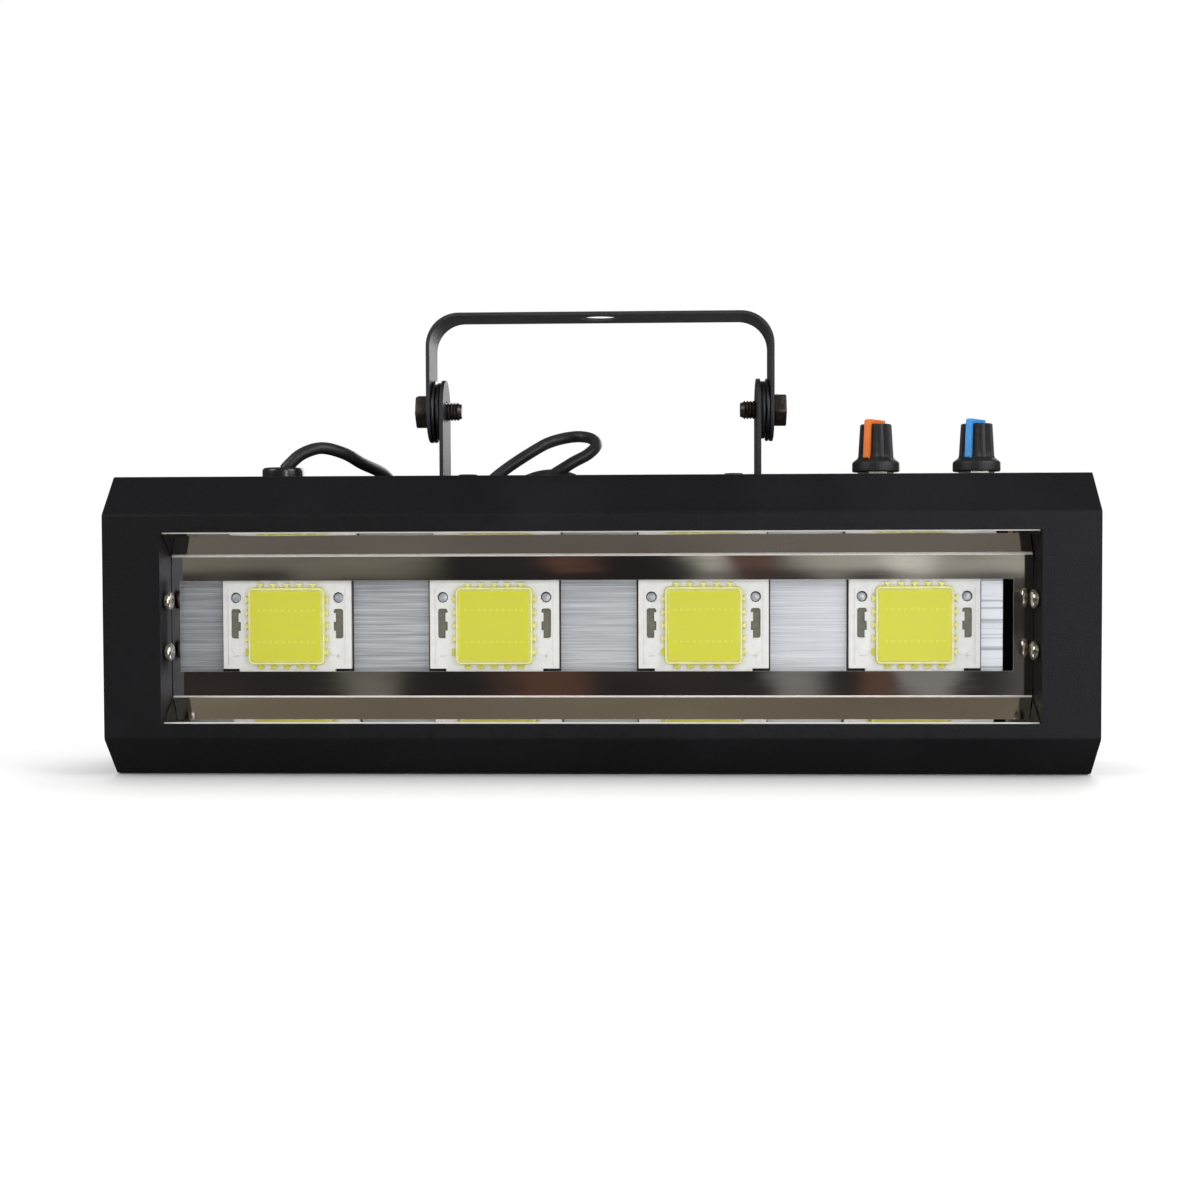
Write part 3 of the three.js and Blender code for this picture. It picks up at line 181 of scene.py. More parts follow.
class Shader(Tree):
    """A node material with one Principled BSDF."""

    def __init__(self, name: str) -> None:
        """Starts a material.

        Args:
            name: Its name.
        """
        self.material = bpy.data.materials.new(name)
        super().__init__(self.material)
        self.surface = self.node("ShaderNodeBsdfPrincipled")
        lit = {"Surface": self.surface.outputs["BSDF"]}
        self.output = self.node("ShaderNodeOutputMaterial", values=lit)
        self.place = self.node("ShaderNodeTexCoord").outputs["Object"]

    def value(self, *node: object) -> Value:
        """Adds a node and takes its first output as a number."""
        return Value(self, self.node(*node).outputs[0])

    def set(self, **values: object) -> None:
        """Feeds the surface's inputs.

        Args:
            **values: What each gets, with underscores in its name.
        """
        for key, value in values.items():
            name = key.replace("_", " ").title().replace("Ior", "IOR")
            self.feed(self.surface.inputs[name], value)

    def glow_for_camera(self, factor: Value, color: Color) -> None:
        """Shows a plain colour to the camera, in reflections and through clear things.

        Args:
            factor: How much of it, from 0 to 1.
            color: The colour.
        """
        path = self.node("ShaderNodeLightPath").outputs
        camera, glossy, through_clear = (
            Value(self, path[f"Is {kind} Ray"]) for kind in ("Camera", "Glossy", "Transmission")
        )
        glow = self.node("ShaderNodeEmission", values={"Color": color, "Strength": 1.0})
        share = factor * camera.most(glossy).most(through_clear)
        values = {0: share, 1: self.surface.outputs["BSDF"], 2: glow.outputs["Emission"]}
        both = self.node("ShaderNodeMixShader", values=values)
        self.feed(self.output.inputs["Surface"], both.outputs["Shader"])

    def axis(self, name: str) -> Value:
        """One coordinate of the place on the object, X, Y or Z, in metres."""
        parts = self.node("ShaderNodeSeparateXYZ", values={0: self.place})
        return Value(self, parts.outputs[name])

    def scattered(self, kind: str, size: float | Sizes, seed: float) -> tuple[dict, dict]:
        """The inputs that every pattern takes.

        Args:
            kind: The pattern's property that holds its dimensions.
            size: The length that counts as 1 in metres, or one on each axis.
            seed: Moves the pattern, so that two of them differ.

        Returns:
            The pattern's settings and its inputs.
        """
        sizes = size if isinstance(size, tuple) else (size,) * 3
        scale = tuple(1 / length for length in sizes)
        inputs = {"Vector": self.place, "Scale": scale}
        place = self.node("ShaderNodeMapping", {"vector_type": "POINT"}, inputs)
        return {kind: "4D"}, {"Vector": place.outputs["Vector"], "W": seed, "Scale": 1.0}

    def noise(self, size: float | Sizes, detail: float = 2, seed: float = 0) -> Value:
        """Cloudy noise from 0 to 1.

        Args:
            size: The size of its clouds in metres, or one on each axis.
            detail: How many finer layers it has.
            seed: Moves it through the noise, so that two noises differ.

        Returns:
            The noise.
        """
        settings, values = self.scattered("noise_dimensions", size, seed)
        return self.value("ShaderNodeTexNoise", settings, values | {"Detail": detail})

    def cells(self, size: float, seed: float) -> Value:
        """Distance to the nearest of scattered points, in cell sizes."""
        return self.value("ShaderNodeTexVoronoi", *self.scattered("voronoi_dimensions", size, seed))

    def mix(self, factor: Value, low: object, high: object) -> NodeSocket:
        """Mixes two colours.

        Args:
            factor: 0 gives low and 1 gives high.
            low: A colour or a colour's socket.
            high: Another.

        Returns:
            The mixed colour's socket.
        """
        settings = {"data_type": "RGBA", "clamp_factor": True}
        return self.node("ShaderNodeMix", settings, {0: factor, 6: low, 7: high}).outputs[2]

    def bump(self, height: Value, depth: float, after: NodeSocket | None = None) -> NodeSocket:
        """A normal from a height.

        Args:
            height: The height, where 1 stands for depth.
            depth: Its real height in metres.
            after: The normal that it adds to, if there is one.

        Returns:
            The normal's socket.
        """
        values = {"Strength": 1.0, "Distance": depth, "Height": height}
        if after is not None:
            values["Normal"] = after
        return self.node("ShaderNodeBump", values=values).outputs["Normal"]


# Finishes. Each is a small recipe for a material.


class Finish:
    """A recipe. Equal recipes share one material."""

    name: str

    @cache
    def build(self) -> Material:
        """Makes the material.

        Returns:
            The material.
        """
        s = Shader(self.name)
        self.paint(s)
        return s.material

    def paint(self, s: Shader) -> None:
        """Feeds the material's inputs. Each recipe has its own way."""
        raise NotImplementedError(self.name)


@dataclass(frozen=True)
class PowderCoat(Finish):
    """Matt black powder coat with its orange-peel grain."""

    name: str = "powder_coat"
    color: Color = (0.0048, 0.0050, 0.0060)
    worn: Color = (0.0098, 0.0101, 0.0118)
    bare: Color = (0.035, 0.036, 0.039)
    patch: float = 38 * MM
    grain: float = 0.5 * MM
    peel: float = 2.4 * MM
    scratch: Sizes = (0.16 * MM, 5 * MM, 11 * MM)
    scratched: float = 20 * MM
    depth: float = 0.14 * MM

    def paint(self, s: Shader) -> None:
        """Grain in the bump, faint worn patches and scratches.

        Args:
            s: The material's shader.
        """
        patches = s.noise(self.patch, 3, 1.7).ramp(0.42, 0.72)
        fine = s.noise(self.grain, 2, 4.1)
        peel = s.noise(self.peel, 1, 2.2)
        lines = s.noise(self.scratch, 1, 9.3).ramp(0.71, 0.78)
        lines = lines * s.noise(self.scratched, 1, 5.0).ramp(0.5, 0.7)
        color = s.mix(patches * 0.5 + fine.ramp(0.35, 0.7) * 0.4, self.color, self.worn)
        s.set(
            base_color=s.mix(lines * 0.4, color, self.bare),
            roughness=0.44 + patches * 0.07 + fine * 0.08 - lines * 0.08,
            specular_ior_level=0.2,
            normal=s.bump(fine * 1.3 + peel * 0.5, self.depth),
        )


@dataclass(frozen=True)
class MirrorSheet(Finish):
    """Polished aluminium sheet, not quite flat: its slanted walls are a little hollow."""

    name: str = "mirror_sheet"
    color: Color = (0.74, 0.715, 0.675)
    hazy: Color = (0.66, 0.63, 0.585)
    hollow: float = 0.273
    flare: float = 0.13
    flare_end: float = -28.8 * MM
    haze: Sizes = (60 * MM, 60 * MM, 9 * MM)
    wipe: Sizes = (26 * MM, 8 * MM, 1.2 * MM)
    ripple: Sizes = (34 * MM, 20 * MM, 14 * MM)
    depth: float = 0.10 * MM

    def paint(self, s: Shader) -> None:
        """Hollow walls, slow ripples, a little haze and wiping marks.

        Args:
            s: The material's shader.
        """
        y = s.axis("Y")
        walls = s.bump(y.least(self.flare_end) * self.flare - y * self.hollow, 1.0)
        haze = s.noise(self.haze, 3, 3.0).ramp(0.4, 0.75)
        wipes = s.noise(self.wipe, 2, 8.0).ramp(0.55, 0.8)
        s.set(
            base_color=s.mix(haze, self.color, self.hazy),
            metallic=1.0,
            roughness=0.045 + haze * 0.03 + wipes * 0.03,
            normal=s.bump(s.noise(self.ripple, 1, 6.0), self.depth, walls),
        )


@dataclass(frozen=True)
class BentEdge(Finish):
    """The mirror sheet where it's bent or cut, paler and satin: a painted highlight along the bends and cut
    edges.
    """

    name: str = "mirror_bend"
    color: Color = (0.90, 0.88, 0.83)
    shade: Color = (0.70, 0.68, 0.63)
    grain: Sizes = (12 * MM, 0.3 * MM, 0.3 * MM)
    depth: float = 0.01 * MM

    def paint(self, s: Shader) -> None:
        """Fine grain along the bend.

        Args:
            s: The material's shader.
        """
        grain = s.noise(self.grain, 2, 4.0)
        s.set(
            base_color=s.mix(grain.ramp(0.3, 0.7) * 0.3, self.color, self.shade),
            metallic=0.25,
            roughness=0.34 + grain * 0.12,
            normal=s.bump(grain, self.depth),
        )


@dataclass(frozen=True)
class ExtrudedAluminium(Finish):
    """Mill-finish extrusion with lines along X, a painted sheen that pales it to the right, and a painted
    glare with dark marks at that end.
    """

    name: str = "extruded_aluminium"
    color: Color = (0.34, 0.365, 0.39)
    dark: Color = (0.22, 0.24, 0.26)
    light: Color = (0.95, 0.965, 0.98)
    nicked: Color = (0.12, 0.125, 0.14)
    pale: Point = (-120 * MM, 130 * MM)
    end_glare: Point = (109 * MM, 115 * MM)
    fine: Sizes = (24 * MM, 0.6 * MM, 0.3 * MM)
    coarse: Sizes = (90 * MM, 2 * MM, 1.1 * MM)
    nick: Sizes = (4 * MM, 0.5 * MM, 0.14 * MM)
    depth: float = 0.02 * MM

    def paint(self, s: Shader) -> None:
        """Fine and coarse lines in colour, gloss and bump.

        Args:
            s: The material's shader.
        """
        fine = s.noise(self.fine, 3, 1.0)
        coarse = s.noise(self.coarse, 2, 2.0)
        nicks = s.noise(self.nick, 1, 7.0).ramp(0.68, 0.76)
        # Painted light: the colour pales to the right as a painted sheen, and turns near white at the right
        # end as a painted glare with coarse dark marks in it.
        pale = s.axis("X").ramp(*self.pale)
        end_glare = s.axis("X").ramp(*self.end_glare)
        tone = s.mix(coarse.ramp(0.3, 0.7) * 0.4, self.color, self.dark)
        tone = s.mix(pale * (0.12 + pale * 0.42), tone, self.light)
        tone = s.mix(end_glare * 0.8, tone, self.light)
        tone = s.mix(fine.ramp(0.35, 0.7) * 0.45, tone, self.light)
        tone = s.mix(end_glare * coarse.ramp(0.5, 0.62) * 0.6, tone, self.dark)
        s.set(
            base_color=s.mix(nicks * 0.45, tone, self.nicked),
            metallic=0.35,
            roughness=0.36 + coarse * 0.16 + fine * 0.08,
            normal=s.bump(fine * 0.8 + coarse * 0.5 - nicks, self.depth),
        )


@dataclass(frozen=True)
class WhiteBoard(Finish):
    """White solder mask on one plate, mottled and with moulded lines."""

    x: float
    z: float
    name: str = "white_board"
    color: Color = (0.75, 0.75, 0.725)
    shade: Color = (0.65, 0.645, 0.645)
    mottle: float = 2.6 * MM
    grain: float = 0.3 * MM
    ridge: float = 18.2 * MM
    ridge_width: Point = (0.42 * MM, 0.1 * MM)
    ridge_foot: Point = (-12.4 * MM, -11.8 * MM)
    ridge_head: Point = (11.6 * MM, 11.2 * MM)
    ring: Point = (15 * MM, 6.9 * MM)
    ring_radius: float = 2.1 * MM
    ring_width: Point = (0.34 * MM, 0.08 * MM)
    ring_part: Point = (-6.2 * MM, -7.4 * MM)
    depth: float = 0.13 * MM

    def paint(self, s: Shader) -> None:
        """Draws the lines round the plate's middle.

        Args:
            s: The material's shader.
        """
        x = s.axis("X") - self.x
        z = s.axis("Z") - self.z
        mottle = s.noise(self.mottle, 4, 1.0)
        fine = s.noise(self.grain, 2, 2.0)
        inside = z.ramp(*self.ridge_foot) * z.ramp(*self.ridge_head)
        ridge = abs(abs(x) - self.ridge).ramp(*self.ridge_width) * inside
        ring = ((abs(x) - self.ring[0]) ** 2 + (z + self.ring[1]) ** 2) ** 0.5
        arcs = abs(ring - self.ring_radius).ramp(*self.ring_width) * z.ramp(*self.ring_part)
        # The ridge is painted a little darker as well as bumped: a painted shade along it.
        s.set(
            base_color=s.mix(mottle.ramp(0.35, 0.75) * 0.6 + ridge * 0.25, self.color, self.shade),
            roughness=0.34 + fine * 0.12,
            normal=s.bump(mottle * 0.1 + fine * 0.04 + ridge + arcs * 0.7, self.depth),
        )


@dataclass(frozen=True)
class Phosphor(Finish):
    """One emitter's yellow phosphor in clear silicone, with two rows of chips showing through."""

    x: float
    z: float
    reach: float
    name: str = "led_phosphor"
    color: Color = (0.605, 0.595, 0.052)
    deep: Color = (0.64, 0.63, 0.020)
    chip: Color = (0.70, 0.68, 0.075)
    rows: float = 4.9 * MM
    pitch: float = 1.93 * MM
    chips: int = 10
    row_end: Point = (0.1 * MM, -0.2 * MM)
    spot: float = 0.62 * MM
    cloud: Sizes = (9 * MM, 9 * MM, 2.2 * MM)
    haze: float = 0.8 * MM
    ripple: float = 1.4 * MM
    depth: float = 0.02 * MM

    def paint(self, s: Shader) -> None:
        """Draws the chips round the emitter's middle, and a deeper colour at its edge.

        Args:
            s: The material's shader.
        """
        x = s.axis("X") - self.x
        z = s.axis("Z") - self.z
        across = (x + self.pitch / 2).zigzag(self.pitch / 2)
        level = abs(abs(z) - self.rows)
        near = (across ** 2 + level ** 2) ** 0.5
        row = self.pitch * self.chips / 2
        inside = abs(x).ramp(*(row + past for past in self.row_end))
        spots = near.ramp(self.spot, self.spot * 0.35) * inside
        edge = abs(x).most(abs(z)).ramp(self.reach * 0.86, self.reach)
        cloud = s.noise(self.cloud, 2, 3.0).ramp(0.4, 0.7)
        tone = s.mix(edge * 0.8 + cloud * 0.25, self.color, self.deep)
        s.set(
            base_color=s.mix(spots * 0.75, tone, self.chip),
            roughness=0.30 + s.noise(self.haze, 2, 5.0) * 0.1,
            specular_ior_level=0.4,
            coat_weight=0.25,
            coat_roughness=0.12,
            normal=s.bump(s.noise(self.ripple, 2, 1.0) * 0.6 + spots * 0.5, self.depth),
        )


@dataclass(frozen=True)
class Plain(Finish):
    """Moulded plastic, rubber, board or plated metal with a fine surface."""

    name: str
    color: Color
    shade: Color
    roughness: float
    cloud: float
    grain: float = 0.3 * MM
    metallic: float = 0.0
    depth: float = 0.01 * MM
    coat: float = 0.0
    specular: float = 0.5

    def paint(self, s: Shader) -> None:
        """A clouded colour, and grain in gloss and bump.

        Args:
            s: The material's shader.
        """
        cloud = s.noise(self.cloud, 3, 1.3)
        grain = s.noise(self.grain, 2, 2.9)
        s.set(
            base_color=s.mix(cloud.ramp(0.32, 0.7), self.color, self.shade),
            metallic=self.metallic,
            roughness=self.roughness - 0.05 + cloud * 0.06 + grain * 0.05,
            specular_ior_level=self.specular,
            normal=s.bump(grain, self.depth),
        )
        if self.coat:
            s.set(coat_weight=self.coat, coat_roughness=0.08)


@dataclass(frozen=True)
class OxideSteel(Finish):
    """Black-oxide steel, brown where the oil has gone."""

    name: str = "oxide_steel"
    color: Color = (0.055, 0.049, 0.046)
    brown: Color = (0.125, 0.085, 0.06)
    bare: Color = (0.23, 0.21, 0.19)
    blotch: float = 1.6 * MM
    speck: float = 0.55 * MM
    grain: float = 0.4 * MM
    depth: float = 0.03 * MM

    def paint(self, s: Shader) -> None:
        """Brown blotches and small bare specks.

        Args:
            s: The material's shader.
        """
        blotch = s.noise(self.blotch, 4, 3.0).ramp(0.46, 0.7)
        specks = s.cells(self.speck, 1.0).ramp(0.22, 0.1)
        tone = s.mix(blotch * 0.8, self.color, self.brown)
        s.set(
            base_color=s.mix(specks * 0.55, tone, self.bare),
            metallic=0.75,
            roughness=0.34 + blotch * 0.16 - specks * 0.1,
            normal=s.bump(s.noise(self.grain, 3, 7.0), self.depth),
        )


class Surface:
    """The plain finishes: name, two colours, roughness and size of the clouds."""

    NICKEL = Plain(
        "nickel_plate", (0.66, 0.63, 0.58), (0.56, 0.53, 0.49), 0.2, 2 * MM, 0.2 * MM, metallic=1.0
    )
    NYLON = Plain("black_nylon", (0.016, 0.0165, 0.018), (0.022, 0.0225, 0.025), 0.4, 4 * MM)
    GLAND = Plain("gland_nylon", (0.012, 0.012, 0.0125), (0.016, 0.016, 0.017), 0.2, 5 * MM, specular=0.6)
    KNOB = Plain(
        "knob_plastic", (0.007, 0.0071, 0.0078), (0.012, 0.0122, 0.013), 0.5, 2 * MM, depth=0.02 * MM
    )
    ORANGE = Plain("orange_plastic", (0.86, 0.172, 0.010), (0.80, 0.20, 0.030), 0.42, 2.4 * MM)
    BLUE = Plain("blue_plastic", (0.030, 0.300, 0.75), (0.055, 0.335, 0.72), 0.42, 2.4 * MM)
    SHEATH = Plain("cord_sheath", (0.014, 0.0143, 0.0155), (0.021, 0.0215, 0.023), 0.42, 9 * MM)
    POCKET = Plain("solder_window", (0.125, 0.125, 0.092), (0.165, 0.162, 0.115), 0.55, 1 * MM, 0.14 * MM)
    RIM = Plain("silicone_rim", (0.55, 0.56, 0.12), (0.64, 0.63, 0.21), 0.3, 2.2 * MM, coat=0.3)
    BEAD = Plain("silicone_bead", (0.86, 0.83, 0.40), (0.78, 0.76, 0.28), 0.25, 3 * MM, coat=0.3)
    # A dark sheet under each LED plate; its rim is a painted shadow in the gap round the plate.
    PAD = Plain("gap_shadow_pad", (0.022, 0.020, 0.021), (0.034, 0.028, 0.027), 0.6, 1 * MM)
    BOARD = Plain("circuit_board", (0.012, 0.085, 0.040), (0.016, 0.105, 0.052), 0.38, 5 * MM, coat=0.2)
    TERMINAL = Plain("terminal_plastic", (0.045, 0.26, 0.11), (0.055, 0.29, 0.13), 0.45, 3 * MM)
    TAPE = Plain("winding_tape", (0.62, 0.55, 0.30), (0.56, 0.49, 0.26), 0.45, 4 * MM)
    SLEEVE = Plain("capacitor_sleeve", (0.16, 0.070, 0.028), (0.20, 0.088, 0.036), 0.35, 4 * MM, coat=0.2)
    EPOXY = Plain("moulded_epoxy", (0.018, 0.018, 0.019), (0.026, 0.026, 0.027), 0.55, 2 * MM)
    FLOOR = Plain("hole_floor", (0.40, 0.43, 0.45), (0.62, 0.64, 0.65), 0.38, 1.2 * MM, metallic=0.3)
    MARK = Plain("embossed_mark", (0.56, 0.56, 0.55), (0.60, 0.60, 0.59), 0.4, 1 * MM)
    SCREW = Plain("black_zinc", (0.045, 0.044, 0.046), (0.065, 0.062, 0.06), 0.3, 1 * MM, metallic=0.8)


# Shaping.


class Form:
    """A mesh being shaped with bmesh operators."""

    def __init__(self) -> None:
        """Starts an empty mesh."""
        self.bm = bmesh.new()

    @classmethod
    def copied(cls, mesh: Mesh, flat: bool = True) -> "Form":
        """Starts from a mesh, with points that lie together merged.

        Args:
            mesh: The mesh.
            flat: Whether loose triangles are merged into flat faces too.

        Returns:
            The form.
        """
        made = cls()
        bm = made.bm
        bm.from_mesh(mesh)
        bmesh.ops.remove_doubles(bm, verts=bm.verts[:], dist=WELD)
        if flat:
            limit = math.radians(FLAT)
            bmesh.ops.dissolve_limit(bm, angle_limit=limit, verts=bm.verts[:], edges=bm.edges[:])
        return made

    def outward(self) -> None:
        """Turns every face outward."""
        bmesh.ops.recalc_face_normals(self.bm, faces=self.bm.faces[:])

    def box(self, low: Sequence[float], high: Sequence[float]) -> list[BMVert]:
        """Adds a box between two corners.

        Args:
            low: Its lowest corner.
            high: Its highest corner.

        Returns:
            Its points.
        """
        verts = bmesh.ops.create_cube(self.bm, size=1.0)["verts"]
        bmesh.ops.scale(self.bm, vec=Vector(high) - Vector(low), verts=verts)
        bmesh.ops.translate(self.bm, vec=(Vector(high) + Vector(low)) / 2, verts=verts)
        return verts

    def spun(self, profile: Iterable[Point], segments: int) -> list[BMVert]:
        """Adds a profile of (radius, height) turned about Z.

        Args:
            profile: Its points, in order.
            segments: The number of steps round.

        Returns:
            Its points.
        """
        line = [self.bm.verts.new((radius, 0, height)) for radius, height in profile]
        edges = [self.bm.edges.new(pair) for pair in zip(line, line[1:])]
        old = set(self.bm.verts) - set(line)
        bmesh.ops.spin(
            self.bm, geom=line + edges, cent=(0, 0, 0), axis=(0, 0, 1), dvec=(0, 0, 0),
            angle=FULL, steps=segments, use_merge=True, use_duplicate=False,
        )
        verts = [vert for vert in self.bm.verts if vert not in old]
        bmesh.ops.remove_doubles(self.bm, verts=verts, dist=WELD / 2)
        return [vert for vert in self.bm.verts if vert not in old]

    def prism(self, outline: Iterable[Point], low: float, high: float) -> list[BMVert]:
        """Adds an outline drawn in X and Y, extruded along Z.

        Args:
            outline: Its corners, anticlockwise.
            low: The Z of its bottom.
            high: The Z of its top.

        Returns:
            Its points.
        """
        line = [self.bm.verts.new((x, y, low)) for x, y in outline]
        face = self.bm.faces.new(line)
        raised = bmesh.ops.extrude_face_region(self.bm, geom=[face])["geom"]
        top = [part for part in raised if isinstance(part, BMVert)]
        bmesh.ops.translate(self.bm, vec=(0, 0, high - low), verts=top)
        face.normal_flip()
        return line + top

    def lofted(self, rings: Iterable[Iterable[Vector]]) -> None:
        """Joins rings of points into a closed skin with flat ends.

        Args:
            rings: The rings, in order, with equally many points.
        """
        made = [[self.bm.verts.new(place) for place in ring] for ring in rings]
        loops = [[self.bm.edges.new(pair) for pair in zip(ring, ring[1:] + ring[:1])] for ring in made]
        for near, far in zip(loops, loops[1:]):
            bmesh.ops.bridge_loops(self.bm, edges=near + far)
        self.bm.faces.new(made[0])
        self.bm.faces.new(made[-1])

    def take(self, other: "Form") -> None:
        """Adds another form's faces after its own.

        Args:
            other: The form. It is used up.
        """
        mesh = bpy.data.meshes.new("taken")
        other.bm.to_mesh(mesh)
        other.bm.free()
        self.bm.from_mesh(mesh)
        bpy.data.meshes.remove(mesh)

    def bevel(
        self, width: float, segments: int, angle: float = 30,
        where: Callable[[BMEdge], bool] = lambda edge: True,
    ) -> None:
        """Rounds the edges between faces that turn by more than an angle.

        Args:
            width: The bevel's width.
            segments: Its steps.
            angle: The least turn, in degrees.
            where: Which edges to take, if not all.
        """
        limit = math.radians(angle)
        sharp = [edge for edge in self.bm.edges if edge.is_manifold and edge.calc_face_angle(0) > limit]
        bmesh.ops.bevel(
            self.bm, geom=[edge for edge in sharp if where(edge)], offset=width, offset_type="OFFSET",
            segments=segments, profile=0.5, affect="EDGES", material=-1, clamp_overlap=True,
        )

    def move(self, matrix: Matrix, verts: list[BMVert] | None = None) -> None:
        """Turns and moves some points, or all of them."""
        bmesh.ops.transform(self.bm, matrix=matrix, verts=verts or self.bm.verts[:])

    def piece(self, name: str, finish: Finish, smooth: float = 40) -> Object:
        """Makes the mesh an object.

        Args:
            name: The object's name.
            finish: Its finish.
            smooth: The angle in degrees above which an edge stays sharp.

        Returns:
            The object.
        """
        limit = math.radians(smooth)
        for face in self.bm.faces:
            face.smooth = True
        for edge in self.bm.edges:
            edge.smooth = edge.is_manifold and edge.calc_face_angle(0) < limit
        mesh = bpy.data.meshes.new(name)
        self.bm.to_mesh(mesh)
        self.bm.free()
        mesh.materials.append(finish.build())
        return linked(bpy.data.objects.new(name, mesh))


def linked(made: Object) -> Object:
    """Puts an object in the scene."""
    bpy.context.scene.collection.objects.link(made)
    return made


def cut_away(piece: Object, cutter: Object, operation: str = "DIFFERENCE") -> None:
    """Cuts one closed mesh out of another, or keeps what they share, and removes the cutter.

    Args:
        piece: What is cut. Its mesh is replaced.
        cutter: The other mesh.
        operation: DIFFERENCE or INTERSECT.
    """
    modifier = piece.modifiers.new("cut", "BOOLEAN")
    modifier.operation = operation
    modifier.solver = "EXACT"
    modifier.object = cutter
    bpy.context.view_layer.update()
    evaluated = piece.evaluated_get(bpy.context.evaluated_depsgraph_get())
    mesh = bpy.data.meshes.new_from_object(evaluated)
    piece.modifiers.clear()
    piece.data = mesh
    bpy.data.objects.remove(cutter)


def weighted(piece: Object) -> Object:
    """Lets large flat faces keep flat shading beside small rounded edges.

    Args:
        piece: The object.

    Returns:
        The same object.
    """
    modifier = piece.modifiers.new("flat_faces", "WEIGHTED_NORMAL")
    modifier.keep_sharp = True
    modifier.weight = 80
    return piece


class Assembly:
    """What every sub-assembly does: it puts its pieces on a body."""

    body = "housing"

    def add(self, piece: Object, slot: str, *nodes: str, body: str | None = None) -> Object:
        """Puts a finished piece on its body.

        Args:
            piece: The object.
            slot: The record's material slot. It is not used.
            *nodes: The frame nodes that it stands for.
            body: The body it rides on, if not the sub-assembly's own.

        Returns:
            The object.
        """
        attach(piece, body or self.body)
        if nodes:
            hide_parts(*nodes)
        log.info("%s rides on %s", piece.name, body or self.body)
        return piece

    def dress(self, node: str, finish: Finish) -> None:
        """Gives a frame node that keeps its shape a better finish.

        Args:
            node: The node.
            finish: The finish.
        """
        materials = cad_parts[node].data.materials
        materials.clear()
        materials.append(finish.build())
        log.info("%s is dressed in %s", node, finish.name)

    def refine(
        self, node: str, finish: Finish, slot: str, width: float,
        angle: float = 50, body: str | None = None,
    ) -> Object:
        """Copies a frame node with rounded edges and smooth bends.

        Args:
            node: The node.
            finish: Its finish.
            slot: The record's material slot.
            width: The width of the rounded edges.
            angle: The least turn of an edge that is rounded, in degrees.
            body: The body it rides on, if not the sub-assembly's own.

        Returns:
            The new piece.
        """
        form = Form.copied(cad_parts[node].data)
        form.bevel(width, 2, angle)
        return self.add(weighted(form.piece(f"{node}_fine", finish, 48)), slot, node, body=body)


def middle_of(node: str) -> Vector:
    """The middle of a frame node's box."""
    low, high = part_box(node)
    return (low + high) / 2


def turned_to(direction: Sequence[float], place: Vector) -> Matrix:
    """A matrix that turns +Z to a direction and then moves to a place."""
    turn = Vector(direction).to_track_quat("Z", "Y").to_matrix().to_4x4()
    return Matrix.Translation(place) @ turn


def arc(middle: Point, radius: float, start: float, end: float, steps: int) -> list[Point]:
    """Points on an arc in a plane.

    Args:
        middle: Its middle.
        radius: Its radius.
        start: Its first angle in radians.
        end: Its last angle.
        steps: The number of steps.

    Returns:
        The points.
    """
    angles = [start + (end - start) * k / steps for k in range(steps + 1)]
    return [(middle[0] + radius * math.cos(a), middle[1] + radius * math.sin(a)) for a in angles]


def rounded(width: float, height: float, radius: float, steps: int = 6) -> list[Point]:
    """The outline of a rectangle with round corners about the origin.

    Args:
        width: Its width.
        height: Its height.
        radius: The radius of its corners.
        steps: The steps of each corner.

    Returns:
        The points, anticlockwise.
    """
    x = width / 2 - radius
    y = height / 2 - radius
    corners = [(x, y), (-x, y), (-x, -y), (x, -y)]
    return [
        point
        for k, corner in enumerate(corners)
        for point in arc(corner, radius, k * QUARTER, (k + 1) * QUARTER, steps)
    ]


def through(places: Sequence[Vector], steps: int) -> list[Vector]:
    """Points on a smooth curve through some places, with centripetal spacing.

    Args:
        places: The places.
        steps: The number of steps between two of them.

    Returns:
        The points.
    """
    line = [2 * places[0] - places[1], *places, 2 * places[-1] - places[-2]]
    found = []
    for a, b, c, d in zip(line, line[1:], line[2:], line[3:]):
        knots = [0.0]
        for one, other in ((a, b), (b, c), (c, d)):
            knots.append(knots[-1] + math.sqrt((other - one).length))
        t0, t1, t2, t3 = knots
        for k in range(steps):
            t = t1 + (t2 - t1) * k / steps
            ab = a.lerp(b, (t - t0) / (t1 - t0))
            bc = b.lerp(c, (t - t1) / (t2 - t1))
            cd = c.lerp(d, (t - t2) / (t3 - t2))
            start = ab.lerp(bc, (t - t0) / (t2 - t0))
            end = bc.lerp(cd, (t - t1) / (t3 - t1))
            found.append(start.lerp(end, (t - t1) / (t2 - t1)))
    return [*found, places[-1].copy()]


# The mains lead.


